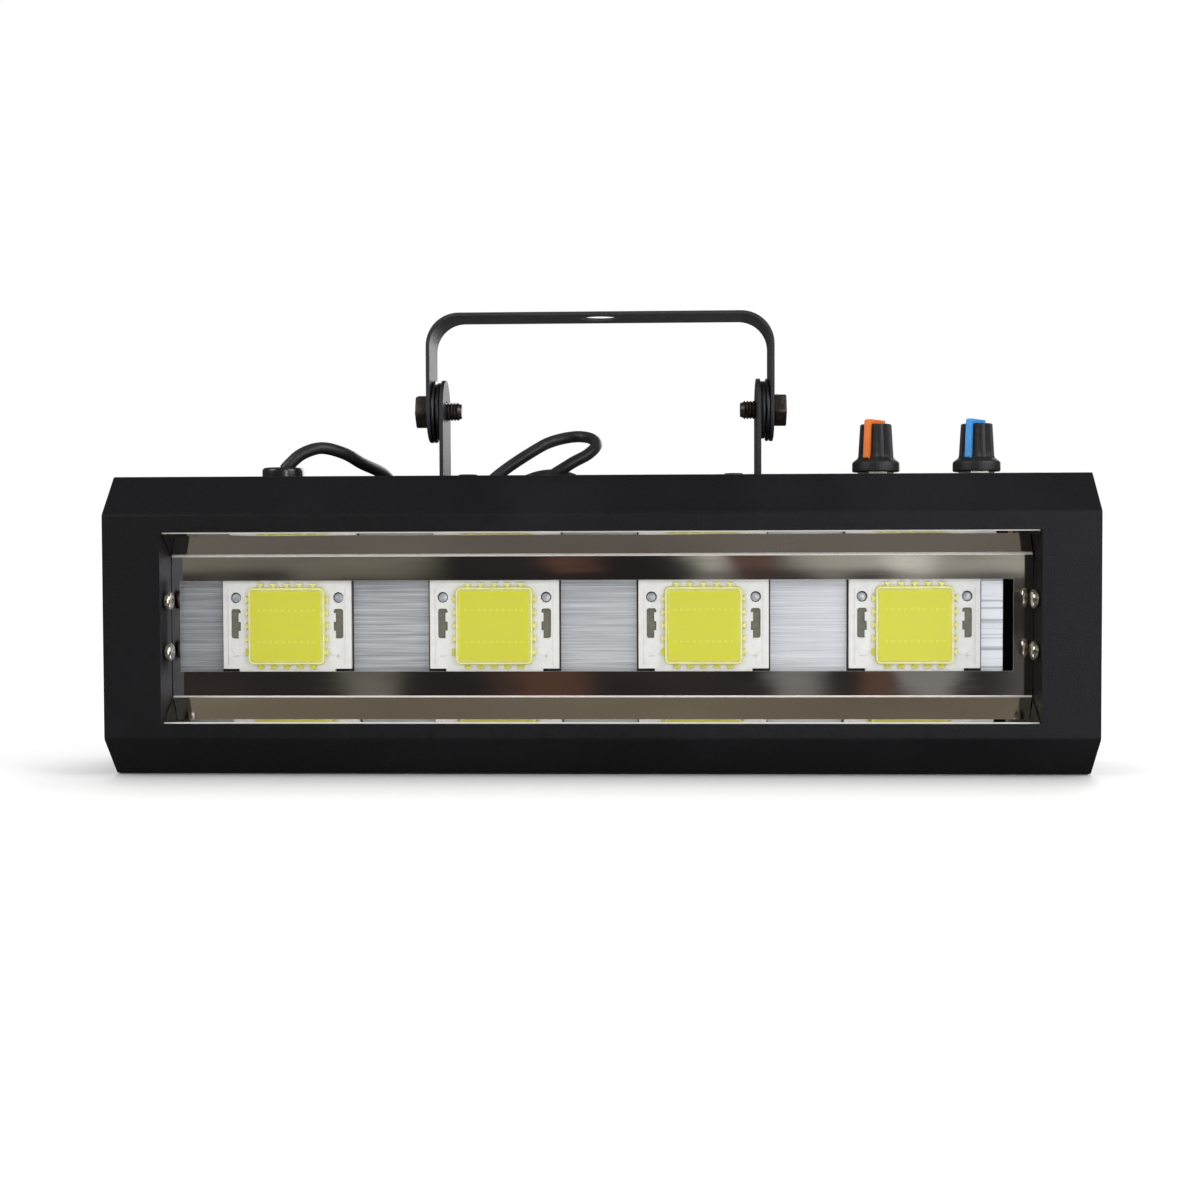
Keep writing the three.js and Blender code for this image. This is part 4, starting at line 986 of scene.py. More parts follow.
@dataclass
class MainsLead(Assembly):
    """The thin lead, its hidden coil with a tie, and its two-pin plug."""

    diameter: float = 4 * MM
    length: float = 1.406
    exit: tuple[float, float, float] = (-0.1026, 0.006, 0.0951)
    pitch: float = 4.5 * MM
    outer: float = 29.75 * MM
    layers: Point = (3.1 * MM, 7.6 * MM)
    coil_middle: Point = (3.55 * MM, 70 * MM)
    layer_turns: float = 3.0
    climb_turns: float = 0.5
    turn_steps: int = 40
    gap: float = 0.3 * MM
    plug_x: float = 73.3 * MM
    plug_y: float = 54 * MM
    plug_thickness: float = 13.7 * MM
    grip_mm: tuple[tuple[float, ...], ...] = (
        (17.5, 19, 11.2, 5), (20.5, 29.5, 13.2, 6), (24, 35, 13.7, 6.4), (40, 35, 13.7, 6.4),
        (41.8, 34.475, 13.289, 6.2), (43, 32.9, 12.33, 5.8),
    )
    sleeve: float = 15 * MM
    sleeve_widths: Point = (7 * MM, 9.4 * MM)
    groove: float = 0.5 * MM
    ribs: int = 5
    pin: float = 4 * MM
    tie_edge: float = 0.15 * MM

    def route(self) -> list[Vector]:
        """The free run's places, in metres: over the top panel, behind the housing and down.

        Returns:
            The places.
        """
        places = (
            (-0.1026, 0.0060, 0.0951), (-0.1009, 0.0062, 0.0970), (-0.0974, 0.0072, 0.1002),
            (-0.0916, 0.0098, 0.1024), (-0.0848, 0.0146, 0.1009), (-0.0802, 0.0206, 0.0980),
            (-0.0738, 0.0338, 0.0939), (-0.0712, 0.0380, 0.0880), (-0.0692, 0.0384, 0.0776),
            (-0.0636, 0.0384, 0.0676), (-0.0540, 0.0386, 0.0632), (-0.0446, 0.0392, 0.0670),
            (-0.0342, 0.0408, 0.0854), (-0.0280, 0.0416, 0.0920), (-0.0196, 0.0420, 0.0946),
            (-0.0114, 0.0422, 0.0934), (-0.0044, 0.0426, 0.0886), (-0.0006, 0.0436, 0.0796),
            (-0.0030, 0.0452, 0.0692), (-0.0116, 0.0466, 0.0608), (-0.0230, 0.0474, 0.0574),
            (-0.0348, 0.0472, 0.0608), (-0.0430, 0.0464, 0.0700), (-0.0452, 0.0454, 0.0810),
            (-0.0414, 0.0450, 0.0906), (-0.0236, 0.0494, 0.1042), (-0.0175, 0.0538, 0.1073),
            (-0.0102, 0.0544, 0.1086), (-0.0050, 0.0511, 0.1077), (-0.0029, 0.0452, 0.1051),
            (-0.0057, 0.0394, 0.1015), (-0.0114, 0.0368, 0.0982), (-0.0242, 0.0362, 0.0886),
            (-0.0286, 0.0362, 0.0740), (-0.0292, 0.0364, 0.0440), (-0.0274, 0.0396, 0.0186),
            (-0.0262, 0.0500, 0.0052), (-0.0262, 0.0577, 0.0031), (-0.0262, 0.0617, 0.0031),
            (-0.0262, 0.0657, 0.0031),
        )
        return [Vector(place) for place in places]

    def wound(self, turn: float) -> Vector:
        """A place on the winding: in on the lower layer, out on the upper.

        Args:
            turn: How many turns lie before it.

        Returns:
            The place.
        """
        back = self.layer_turns + self.climb_turns / 2
        radius = self.outer - self.pitch * min(turn, back) + self.pitch * max(turn - back, 0)
        share = min(max((turn - self.layer_turns) / self.climb_turns, 0), 1)
        climb = share * share * (3 - 2 * share)
        low, high = self.layers
        angle = math.pi - FULL * turn
        outward = Vector((math.cos(angle), math.sin(angle), 0))
        return Vector((*self.coil_middle, low + (high - low) * climb)) + outward * radius

    def tail(self, start: Vector) -> list[Vector]:
        """The places of the lead between its coil and the plug.

        Args:
            start: The end of the coil.

        Returns:
            The places.
        """
        reach = self.plug_x - start.x
        drop = start.y - self.plug_y
        radius = self.diameter / 2
        floor = radius + self.gap
        middle = self.plug_thickness / 2
        shares = ((0.06, 0.6, 0.5), (0.2, 0.92, 0.12), (0.4, 1, 0), (0.62, 1, 0.02))
        lying = [
            Vector((start.x + reach * x, start.y - drop * y, floor + (start.z - floor) * z))
            for x, y, z in shares
        ]
        near = radius + (middle - radius) * 0.8
        rising = ((2 * self.diameter, near), (self.diameter, middle), (self.gap, middle))
        into_plug = [Vector((self.plug_x - before, self.plug_y, z)) for before, z in rising]
        return [start, start - Vector((0, self.diameter, 0)), *lying, *into_plug]

    def track(self) -> list[Vector]:
        """The whole middle line of the lead, from the bushing to the plug.

        Returns:
            Its points.
        """
        turns = 2 * self.layer_turns + self.climb_turns
        steps = round(turns * self.turn_steps)
        winding = [self.wound(turns * k / steps) for k in range(steps + 1)]
        straight = Vector((0, self.diameter, 0))
        tail = through(self.tail(winding[-1] - straight), 8)
        return [*through(self.route(), 8), winding[0] - straight, *winding, *tail]

    def plug(self) -> Object:
        """The plug's body: a ribbed sleeve that widens, a shoulder and a flat grip.

        Each section has its place along the plug, a width, a thickness and a corner radius.

        Returns:
            The object.
        """
        narrow, broad = self.sleeve_widths
        steps = 4 * self.ribs
        sections = []
        for k in range(steps + 1):
            size = narrow + (broad - narrow) * k / steps - (self.groove if k % 4 in (1, 2) else 0)
            sections.append((self.sleeve * k / steps, size, size, size * 0.499))
        sections += [[size * MM for size in section] for section in self.grip_mm]
        form = Form()
        form.lofted(
            [Vector((x, a, b)) for a, b in rounded(width, height, corner, 5)]
            for x, width, height, corner in sections
        )
        form.move(Matrix.Translation((self.plug_x, self.plug_y, self.plug_thickness / 2)))
        form.outward()
        return form.piece("plug_body_fine", Surface.SHEATH, 45)

    def pins(self) -> list[Object]:
        """The plug's two round pins.

        Returns:
            The pins.
        """
        made = []
        radius = self.pin / 2
        for k in (1, 2):
            low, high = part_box(f"plug_pin_{k}")
            length = high.x - low.x
            tip = [(radius * math.cos(a), length - radius + radius * math.sin(a)) for a in (0.4, 0.8, 1.2)]
            form = Form()
            form.spun([(0, 0), (radius, 0), (radius, length - radius), *tip, (0, length)], 32)
            form.move(turned_to((1, 0, 0), Vector((low.x, (low.y + high.y) / 2, (low.z + high.z) / 2))))
            form.outward()
            pin = form.piece(f"plug_pin_fine_{k}", Surface.NICKEL, 38)
            made.append(self.add(pin, "nickel_steel", f"plug_pin_{k}"))
        return made

    def build(self) -> None:
        """Makes the lead with what is on it."""
        track = self.track()
        curve = bpy.data.curves.new("mains_lead", "CURVE")
        curve.dimensions = "3D"
        curve.bevel_depth = self.diameter / 2
        curve.bevel_resolution = 4
        curve.use_fill_caps = True
        spline = curve.splines.new("POLY")
        spline.points.add(len(track) - 1)
        for point, place in zip(spline.points, track):
            point.co = (*place, 1)
        spline.use_smooth = True
        curve.materials.append(Surface.SHEATH.build())
        cord = linked(bpy.data.objects.new("mains_lead", curve))
        self.add(cord, "cord_sheath", "lead", "lead_coil", "lead_tail")
        plug = self.add(self.plug(), "cord_sheath", "plug_body")
        tie = self.refine("coil_tie", Surface.NYLON, "black_nylon", self.tie_edge)
        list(self.pins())


# The housing.


@dataclass
class PanScrew:
    """A pan-head screw with a cross recess."""

    length: float
    surface: Finish
    head: float = 5.8 * MM
    height: float = 2.2 * MM
    shank: float = 3 * MM
    pitch: float = 0.7 * MM
    groove: float = 0.22 * MM
    neck: float = 0.3 * MM
    tip: float = 0.5 * MM
    wing: float = 2.9 * MM
    slot: float = 0.75 * MM
    depth: float = 1.25 * MM

    def recess(self) -> Form:
        """The cross that is cut into the head, narrower at its bottom.

        Returns:
            The cutting shape.
        """
        w, s, h = self.wing / 2, self.slot / 2, self.height
        arm = [(s, -w), (s, -s), (w, -s)]
        cross = []
        for _ in range(4):
            cross += arm
            arm = [(-y, x) for x, y in arm]
        form = Form()
        verts = form.prism(cross, h - self.depth, h + self.depth)
        low = [vert for vert in verts if vert.co.z < h]
        bmesh.ops.scale(form.bm, vec=(0.5, 0.5, 1), verts=low)
        form.outward()
        return form

    @cached_property
    def blank(self) -> Mesh:
        """The screw's shape, with its seat at the origin and its head along +Z.

        Returns:
            The mesh.
        """
        r, h, core = self.head / 2, self.height, self.shank / 2
        dome = ((0, 1), (0.5, 0.985), (0.76, 0.9), (0.93, 0.7), (1, 0.4), (1, 0.08), (0.95, 0))
        turns = int(self.length / self.pitch)
        run = self.length - self.neck - self.tip
        steps = 2 * turns
        head = [(r * x, h * z) for x, z in dome]
        thread = [(core - k % 2 * self.groove, -self.neck - run * k / steps) for k in range(steps + 1)]
        tip = [(core * 0.7, -self.length), (0, -self.length)]
        form = Form()
        form.spun([*head, (core, 0), *thread, *tip], 40)
        form.outward()
        screw = form.piece("screw_blank", self.surface)
        cut_away(screw, self.recess().piece("screw_tool", self.surface))
        mesh = screw.data
        bpy.data.objects.remove(screw)
        return mesh

    def fitted(self, node: str, name: str, way: Sequence[float], turn: float) -> Object:
        """Puts a copy of the screw in a node's place.

        Args:
            node: The frame node.
            name: The new object's name.
            way: Where its head faces, along X or Y.
            turn: The turn of its recess in radians.

        Returns:
            The object.
        """
        low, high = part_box(node)
        reach = abs((high - low).dot(Vector(way))) / 2 - self.height
        form = Form.copied(self.blank, flat=False)
        form.move(turned_to(way, (low + high) / 2 + Vector(way) * reach) @ Matrix.Rotation(turn, 4, "Z"))
        return form.piece(name, self.surface, 35)


@dataclass
class Housing(Assembly):
    """The folded front shell, the rear cover and its screws."""

    edge: float = 0.22 * MM
    cover_edge: float = 0.2 * MM
    screw: PanScrew = field(default_factory=lambda: PanScrew(7 * MM, Surface.SCREW))

    def build(self) -> None:
        """Makes the sheets and the rear screws."""
        coat = PowderCoat()
        self.refine("front_shell", coat, "powder_coat", self.edge)
        self.refine("rear_cover", coat, "powder_coat", self.cover_edge)
        for k in range(1, 5):
            piece = self.screw.fitted(f"rear_screw_{k}", f"rear_screw_fine_{k}", (0, 1, 0), 0.7 * k)
            self.add(piece, "black_steel", f"rear_screw_{k}")


# The mirror and the LED row.


@dataclass
class MirrorTray(Assembly):
    """The polished reflector and the four screws that hold it."""

    edge: float = 0.2 * MM
    wall: Point = (0.556, 0.831)
    flat: float = 0.99
    screw: PanScrew = field(default_factory=lambda: PanScrew(6 * MM, Surface.NICKEL))

    def build(self) -> None:
        """Makes the reflector and its screws. Faces that lie in no flat or wall are bends and cut edges,
        and get the painted highlight.
        """
        sheet = self.refine("reflector", MirrorSheet(), "polished_reflector", self.edge)
        sheet.data.materials.append(BentEdge().build())
        y, z = self.wall
        flats = [Vector(way) for way in ((1, 0, 0), (0, 1, 0), (0, 0, 1), (0, y, z), (0, y, -z))]
        for face in sheet.data.polygons:
            face.material_index = all(abs(face.normal.dot(way)) < self.flat for way in flats)
        for side_name, side in SIDES:
            for k in (1, 2):
                node = f"reflector_screw_{side_name}_{k}"
                piece = self.screw.fitted(node, f"{node}_fine", (-side, 0, 0), 0.5 + 0.9 * k)
                self.add(piece, "nickel_steel", node)


@dataclass
class LedModule(Assembly):
    """One LED module: its pad, white plate, yellow emitter and moulded marks."""

    number: int
    front: float = -19.8 * MM
    plate_front: float = -18.5 * MM
    plate_edge: float = 0.12 * MM
    thickness: float = 1.6 * MM
    frame_width: float = 23.8 * MM
    frame_corner: float = 1.6 * MM
    frame_edge: float = 0.16 * MM
    bead_width: float = 22.6 * MM
    bead_edge: float = 0.25 * MM
    field_width: float = 21.3 * MM
    field_corner: float = 0.7 * MM
    field_edge: float = 0.1 * MM
    field_rise: float = 0.04 * MM
    inset: float = 0.1 * MM
    tabs: int = 5
    tab_pitch: float = 4.1 * MM
    tab_root: float = 0.3 * MM
    tab_top: float = 0.42 * MM
    neck: float = 1.3 * MM
    cap: float = 2.3 * MM
    cap_depth: float = 0.7 * MM
    reach: Point = (1.15 * MM, 1.35 * MM)
    aside: float = 16 * MM
    window_top: float = 5.2 * MM
    window_half: float = 1.45 * MM
    window_past: float = 2 * MM
    sunk: float = 0.4 * MM
    step: float = 0.6 * MM
    step_sink: float = 0.01 * MM
    steps: tuple[Point, Point] = ((-3.9 * MM, -1.2 * MM), (-9 * MM, -6.7 * MM))
    hole_rise: float = 8.7 * MM
    floor: float = 1.35 * MM
    floor_depth: float = 0.8 * MM
    floor_rim: Point = (0.3 * MM, 0.2 * MM)
    floor_dome: float = 0.1 * MM
    pad_past: float = 0.55 * MM
    pad_back: float = 0.28 * MM
    pad_edge: float = 0.08 * MM
    mark: Sizes = (0.85 * MM, 0.05 * MM, 0.16 * MM)
    mark_drop: float = 9.4 * MM
    mark_edge: float = 0.04 * MM

    def plate(self) -> None:
        """The white plate, with darker floors in its solder windows."""
        node = f"led_plate_{self.number}"
        middle = middle_of(node)
        form = Form.copied(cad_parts[node].data)
        form.bevel(self.plate_edge, 2, 50)
        self.add_steps(form, middle)
        piece = form.piece(f"{node}_fine", WhiteBoard(middle.x, middle.z))
        piece.data.materials.append(Surface.POCKET.build())
        for face in piece.data.polygons:
            aside = abs(abs(face.center.x - middle.x) - self.aside)
            deep = face.center.y > self.plate_front + self.sunk
            face.material_index = face.normal.y < -0.5 and deep and aside < self.window_past
        self.add(weighted(piece), "white_led_board", node)

    def add_steps(self, form: Form, middle: Vector) -> None:
        """Adds the two steps on the inner edge of each solder window.

        Args:
            form: The plate.
            middle: Its middle.
        """
        front = self.plate_front + self.step_sink
        back = self.plate_front + self.thickness
        top = middle.z + self.window_top
        for side in (-1, 1):
            edge = middle.x + side * (self.aside - self.window_half)
            left, right = sorted((edge + side * self.step, edge - side * self.step))
            for low, high in self.steps:
                form.box((left, front, top + low), (right, back, top + high))

    def floors(self) -> None:
        """The bare metal that shows in the plate's two holes."""
        middle = middle_of(f"led_plate_{self.number}")
        r, depth = self.floor, self.thickness - self.floor_depth
        inward, down = self.floor_rim
        back = self.plate_front + self.thickness
        profile = [(0, 0), (r, 0), (r, depth - down), (r - inward, depth), (0, depth + self.floor_dome)]
        form = Form()
        for side in (-1, 1):
            place = Vector((middle.x + side * self.aside, back, middle.z + self.hole_rise))
            form.move(turned_to((0, -1, 0), place), form.spun(profile, 32))
        form.outward()
        piece = form.piece(f"hole_floors_{self.number}", Surface.FLOOR)
        self.add(piece, "extruded_aluminium")

    def pad(self) -> None:
        """The dark pad that shows as a thin line round the plate: a dark sheet put in as a painted shadow
        for the gap between plate and sink.
        """
        low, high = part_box(f"led_plate_{self.number}")
        past = self.pad_past
        form = Form()
        near = (low.x - past, high.y + SINK, low.z - past)
        far = (high.x + past, high.y + self.pad_back, high.z + past)
        form.box(near, far)
        form.bevel(self.pad_edge, 2)
        self.add(form.piece(f"gap_shadow_pad_{self.number}", Surface.PAD), "black_nylon")

    def emitter(self) -> None:
        """The yellow emitter: frame with moulding tabs, pale bead and phosphor field."""
        node = f"led_emitter_{self.number}"
        middle = middle_of(node)
        height = self.plate_front - self.front
        form = Form()
        form.prism(rounded(self.frame_width, self.frame_width, self.frame_corner), SINK, height * 0.86)
        self.add_tabs(form)
        form.bevel(self.frame_edge, 2)
        bead = (self.bead_width, self.field_corner * 1.3, self.inset, height, self.bead_edge, 3)
        top = height + self.field_rise
        core = (self.field_width, self.field_corner, 2 * self.inset, top, self.field_edge, 2)
        counts = []
        for width, corner, low, high, edge, segments in (bead, core):
            counts.append(len(form.bm.faces))
            layer = Form()
            layer.prism(rounded(width, width, corner), low, high)
            layer.bevel(edge, segments)
            form.take(layer)
        form.move(Matrix.Translation((middle.x, self.plate_front, middle.z)) @ UPRIGHT)
        form.outward()
        piece = form.piece(f"{node}_fine", Surface.RIM)
        for finish in (Surface.BEAD, Phosphor(middle.x, middle.z, self.field_width / 2)):
            piece.data.materials.append(finish.build())
        for face in piece.data.polygons:
            face.material_index = sum(face.index >= count for count in counts)
        self.add(weighted(piece), "led_phosphor", node)

    def add_tabs(self, form: Form) -> None:
        """Adds the T-shaped moulding tabs on all four sides of the frame.

        Args:
            form: The frame, seen along Z.
        """
        for quarter in range(4):
            end = self.frame_width / 2 + self.reach[quarter % 2]
            neck = (self.neck / 2, self.frame_width / 2 - self.tab_root, end - self.cap_depth / 2)
            cap = (self.cap / 2, end - self.cap_depth, end)
            for k in range(self.tabs):
                y = (k - (self.tabs - 1) / 2) * self.tab_pitch
                for half, near, far in (neck, cap):
                    verts = form.box((near, y - half, SINK), (far, y + half, self.tab_top))
                    form.move(Matrix.Rotation(quarter * QUARTER, 4, "Z"), verts)

    def marks(self) -> None:
        """The moulded minus and plus beside the solder windows."""
        middle = middle_of(f"led_plate_{self.number}")
        flat = Vector(self.mark)
        upright = flat.zyx
        form = Form()
        for side, bars in ((-1, (flat,)), (1, (flat, upright))):
            place = Vector((middle.x + side * self.aside, self.plate_front, middle.z - self.mark_drop))
            for half in bars:
                form.box(place - half, place + half)
        form.bevel(self.mark_edge, 1)
        self.add(form.piece(f"polarity_marks_{self.number}", Surface.MARK), "white_led_board")

    def build(self) -> None:
        """Makes the module's pieces."""
        self.pad()
        self.plate()
        self.floors()
        self.emitter()
        self.marks()


@dataclass
class LedRow(Assembly):
    """The heat sink with its spacers, and the four modules on it."""

    modules: int = 4
    spacers: int = 4
    edge: float = 0.2 * MM
    spacer_edge: float = 0.25 * MM

    def build(self) -> None:
        """Makes the sink, its spacers and the modules."""
        self.refine("heat_sink", ExtrudedAluminium(), "extruded_aluminium", self.edge)
        for k in range(self.spacers):
            self.refine(f"sink_spacer_{k + 1}", Surface.NICKEL, "nickel_steel", self.spacer_edge)
        for k in range(self.modules):
            LedModule(k + 1).build()


# The tilting yoke.


@dataclass
class TiltYoke(Assembly):
    """The bracket ears, the yoke between them, its bolts and its washers."""

    half_width: float = 55.1 * MM
    rise: float = 30.5 * MM
    strap: float = 20 * MM
    sheet: float = 1.2 * MM
    bend: float = 10.5 * MM
    bend_steps: int = 14
    clamp_hole: float = 12 * MM
    bolt_hole: float = 6.6 * MM
    edge: float = 0.28 * MM
    ear_edge: float = 0.2 * MM
    axis: tuple[float, float, float] = (0.0, 6 * MM, 113.6 * MM)
    past: float = 100 * MM
    gap: float = 0.3 * MM
    head_flats: float = 10 * MM
    head_height: float = 3.9 * MM
    head_corner: float = 0.75 * MM
    head_edge: float = 0.4 * MM
    thread: float = 6 * MM
    pitch: float = 1.0 * MM
    groove: float = 0.5 * MM
    thread_start: float = 0.4 * MM
    thread_end: float = 44.7 * MM
    thread_tip: float = 0.9 * MM
    plain: float = 20 * MM
    friction: float = 18.4 * MM
    washer_edge: float = 0.22 * MM
    # A lighter copy of the housing's powder coat for the strap and the ears: painted light, for the
    # brighter light that falls on them.
    coat: PowderCoat = PowderCoat("powder_coat_strap", (0.026, 0.0262, 0.029), (0.052, 0.0525, 0.057))
    body: str = "yoke_body"

    def bent(self, inward: float) -> list[Point]:
        """One face of the strap, from foot to foot.

        Args:
            inward: How far it lies inside the strap's outer face.

        Returns:
            The points as (x, z) from the bolts' axis.
        """
        reach, top, radius = self.half_width - inward, self.rise - inward, self.bend - inward
        right = arc((reach - radius, top - radius), radius, 0, QUARTER, self.bend_steps)
        left = [(-x, z) for x, z in reversed(right)]
        foot = -self.strap / 2
        return [(reach, foot), *right, *left, (-reach, foot)]

    def yoke(self) -> None:
        """The strap bent into a U, with round ends, bolt holes and the clamp hole."""
        half = self.strap / 2
        form = Form()
        form.move(UPRIGHT, form.prism([*self.bent(0), *reversed(self.bent(self.sheet))], -half, half))
        form.outward()
        strap = form.piece("yoke_fine", self.coat)
        legs = Form()
        end = arc((0, 0), half, math.pi, FULL, 40)
        side = [*end, (half, self.rise + half), (-half, self.rise + half)]
        legs.move(Matrix.Rotation(QUARTER, 4, "Z") @ UPRIGHT, legs.prism(side, -self.past, self.past))
        legs.outward()
        cut_away(strap, legs.piece("legs_tool", self.coat), "INTERSECT")
        holes = Form()
        across = holes.prism(arc((0, 0), self.bolt_hole / 2, 0, FULL, 40)[:-1], -self.past, self.past)
        holes.move(Matrix.Rotation(QUARTER, 4, "Y"), across)
        holes.prism(arc((0, 0), self.clamp_hole / 2, 0, FULL, 56)[:-1], self.rise - half, self.rise + half)
        holes.outward()
        cut_away(strap, holes.piece("holes_tool", self.coat))
        shaped = Form.copied(strap.data)
        bpy.data.objects.remove(strap)
        shaped.bevel(self.edge, 3, 50)
        shaped.move(Matrix.Translation(self.axis))
        self.add(weighted(shaped.piece("yoke_strap", self.coat, 48)), "powder_coat", "yoke")

    def bolt(self, name: str, side: int) -> None:
        """A hexagon bolt whose thread ends between the ears.

        Args:
            name: The side's name.
            side: -1 for left or 1 for right.
        """
        seat = self.half_width + self.gap
        corner = self.head_flats / 2 / math.cos(math.pi / 6)
        form = Form()
        form.prism(arc((0, 0), corner, 0, FULL, 6)[:-1], 0, self.head_height)
        form.outward()
        form.bevel(self.head_corner, 4, 20, lambda edge: abs(edge.verts[0].co.z - edge.verts[1].co.z) > MM)
        form.bevel(self.head_edge, 3, 50)
        core = self.thread / 2
        crests = int((seat - self.thread_end) / self.pitch * 2)
        end = self.thread_end - seat
        start = self.thread_start
        run = end + self.thread_tip - start
        thread = [(core - (k % 2) * self.groove, start + run * k / crests) for k in range(crests + 1)]
        form.spun([(0, start * 1.5), *thread, (core * 0.74, end), (0, end)], 40)
        form.outward()
        place = Vector((side * seat, self.axis[1], self.axis[2]))
        form.move(turned_to((side, 0, 0), place) @ Matrix.Rotation(0.16 * side, 4, "Z"))
        piece = form.piece(f"pivot_bolt_fine_{name}", OxideSteel())
        self.add(piece, "black_steel", f"pivot_bolt_{name}", body="housing")

    def ring(self, node: str, diameter: float, finish: Finish, slot: str, body: str) -> None:
        """A washer with rounded edges, between the two ends of its node.

        Args:
            node: The frame node.
            diameter: Its outer diameter.
            finish: Its finish.
            slot: The record's material slot.
            body: The body it rides on.
        """
        low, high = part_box(node)
        r, hole = diameter / 2, self.bolt_hole / 2
        far = high.x - low.x
        e = min(self.washer_edge, far * 0.24)
        near_half = [(hole, e), (hole + e, 0), (r - e, 0), (r, e)]
        far_half = [(x, far - z) for x, z in reversed(near_half)]
        form = Form()
        form.spun([*near_half, *far_half, (hole, e)], 72)
        form.outward()
        form.move(turned_to((1, 0, 0), Vector((low.x, self.axis[1], self.axis[2]))))
        self.add(form.piece(f"{node}_fine", finish, 50), slot, node, body=body)

    def build(self) -> None:
        """Makes the pieces of the tilt."""
        self.yoke()
        for name, side in SIDES:
            self.refine(f"bracket_ear_{name}", self.coat, "powder_coat", self.ear_edge, body="housing")
            self.bolt(name, side)
            self.ring(f"plain_washer_{name}", self.plain, Surface.SCREW, "black_steel", self.body)
            self.ring(f"friction_washer_{name}", self.friction, Surface.NYLON, "black_nylon", "housing")


# The controls and the bushing.


@dataclass
class RotaryKnob(Assembly):
    """One control: a skirted, fluted knob with a coloured pointer, over its nut and shaft."""

    name: str
    x: float
    color: Finish
    slot: str
    y: float = 6 * MM
    bottom: float = 93.5 * MM
    height: float = 15.2 * MM
    skirt: float = 7.5 * MM
    skirt_height: float = 2.6 * MM
    skirt_edges: Point = (0.3 * MM, 0.25 * MM)
    waist: float = 5.6 * MM
    waist_height: float = 4.9 * MM
    top: float = 5.0 * MM
    top_edge: float = 0.5 * MM
    recess: float = 6.3 * MM
    recess_depth: float = 1.8 * MM
    recess_edge: float = 0.15 * MM
    ogee_steps: int = 8
    side_steps: int = 10
    flutes: int = 14
    flute_depth: float = 0.62 * MM
    flute_foot: float = 1.2 * MM
    flute_run: float = 1.6 * MM
    turn: float = math.radians(-126)
    pointer_width: float = 1.85 * MM
    pointer_edge: float = 0.22 * MM
    rib_mm: tuple[Point, ...] = (
        (3.6, 5.3), (5.4, 3.7), (6.85, 4.4), (5.95, 16.1), (5.35, 16.65), (-4.5, 16.65), (-4.8, 16.35),
    )
    nut_edge: float = 0.2 * MM

    def __post_init__(self) -> None:
        """Names the body that the knob turns with."""
        self.body = f"{self.name}_knob_body"

    def stand(self) -> Matrix:
        """The knob's place, with the pointer along local +X."""
        return Matrix.Translation((self.x, self.y, self.bottom)) @ Matrix.Rotation(self.turn, 4, "Z")

    def profile(self) -> list[Point]:
        """The knob without its flutes, from the recess underneath to the middle of the top.

        Returns:
            The points as (radius, height).
        """
        w, t, s, e = self.waist, self.top, self.skirt, self.top_edge
        low, rise, h = self.skirt_height, self.waist_height, self.height
        n, m = self.ogee_steps, self.side_steps
        inner, outer = self.skirt_edges
        deep = self.recess_depth
        under = [(0, deep), (self.recess, deep), (self.recess, self.recess_edge)]
        skirt = [(self.recess + self.recess_edge, 0), (s - inner, 0), (s, inner), (s, low - outer)]
        ogee = [
            (w + (s - w) * (1 + math.cos(math.pi * k / n)) / 2, low + (rise - low) * k / n)
            for k in range(1, n + 1)
        ]
        sides = [(w + (t - w) * k / m, rise + (h - e - rise) * k / m) for k in range(1, m + 1)]
        crown = arc((t - e, h - e), e, 0, QUARTER, 4)[1:]
        return [*under, *skirt, *ogee, *sides, *crown, (0, h)]

    def flute(self, vert: BMVert) -> None:
        """Draws a point of the waist inward where it lies in a flute.

        Args:
            vert: The point.
        """
        x, y, z = vert.co
        reach = math.hypot(x, y)
        high = min(max((z - self.waist_height + self.flute_foot) / self.flute_run, 0), 1)
        if z > self.skirt_height and reach > self.top * 0.6 and high > 0:
            share = math.atan2(y, x) / FULL * self.flutes + 0.5
            across = abs(share - math.floor(share) - 0.5) * 2
            deep = max(0, (across - 0.35) / 0.65) ** 0.8 * high
            vert.co.xy *= 1 - self.flute_depth * deep / reach

    def cap(self) -> None:
        """The knob's body: a skirt, an ogee and a tapered waist with flutes."""
        form = Form()
        form.spun(self.profile(), self.flutes * 12)
        for vert in form.bm.verts:
            self.flute(vert)
        form.outward()
        form.move(self.stand())
        piece = form.piece(f"{self.name}_knob_fine", Surface.KNOB)
        self.add(piece, "knob_plastic", f"{self.name}_knob")

    def pointer(self) -> None:
        """The coloured bar: across the top and down the front, with a slanted foot."""
        sunk = self.height + SINK
        rib = [(x * MM, z * MM) for x, z in self.rib_mm]
        under = [(rib[-1][0], sunk), (rib[0][0], sunk)]
        half = self.pointer_width / 2
        form = Form()
        form.move(UPRIGHT, form.prism([*under, *rib], -half, half))
        form.outward()
        form.bevel(self.pointer_edge, 3, 35)
        form.move(self.stand())
        piece = weighted(form.piece(f"{self.name}_pointer_fine", self.color))
        self.add(piece, self.slot, f"{self.name}_pointer")

    def build(self) -> None:
        """Makes the knob, its pointer, its nut and what is under the panel."""
        self.cap()
        self.pointer()
        nickel = Surface.NICKEL
        self.refine(f"{self.name}_nut", nickel, "nickel_steel", self.nut_edge, angle=40, body="housing")
        self.dress(f"{self.name}_shaft", nickel)
        self.dress(f"{self.name}_control", nickel)


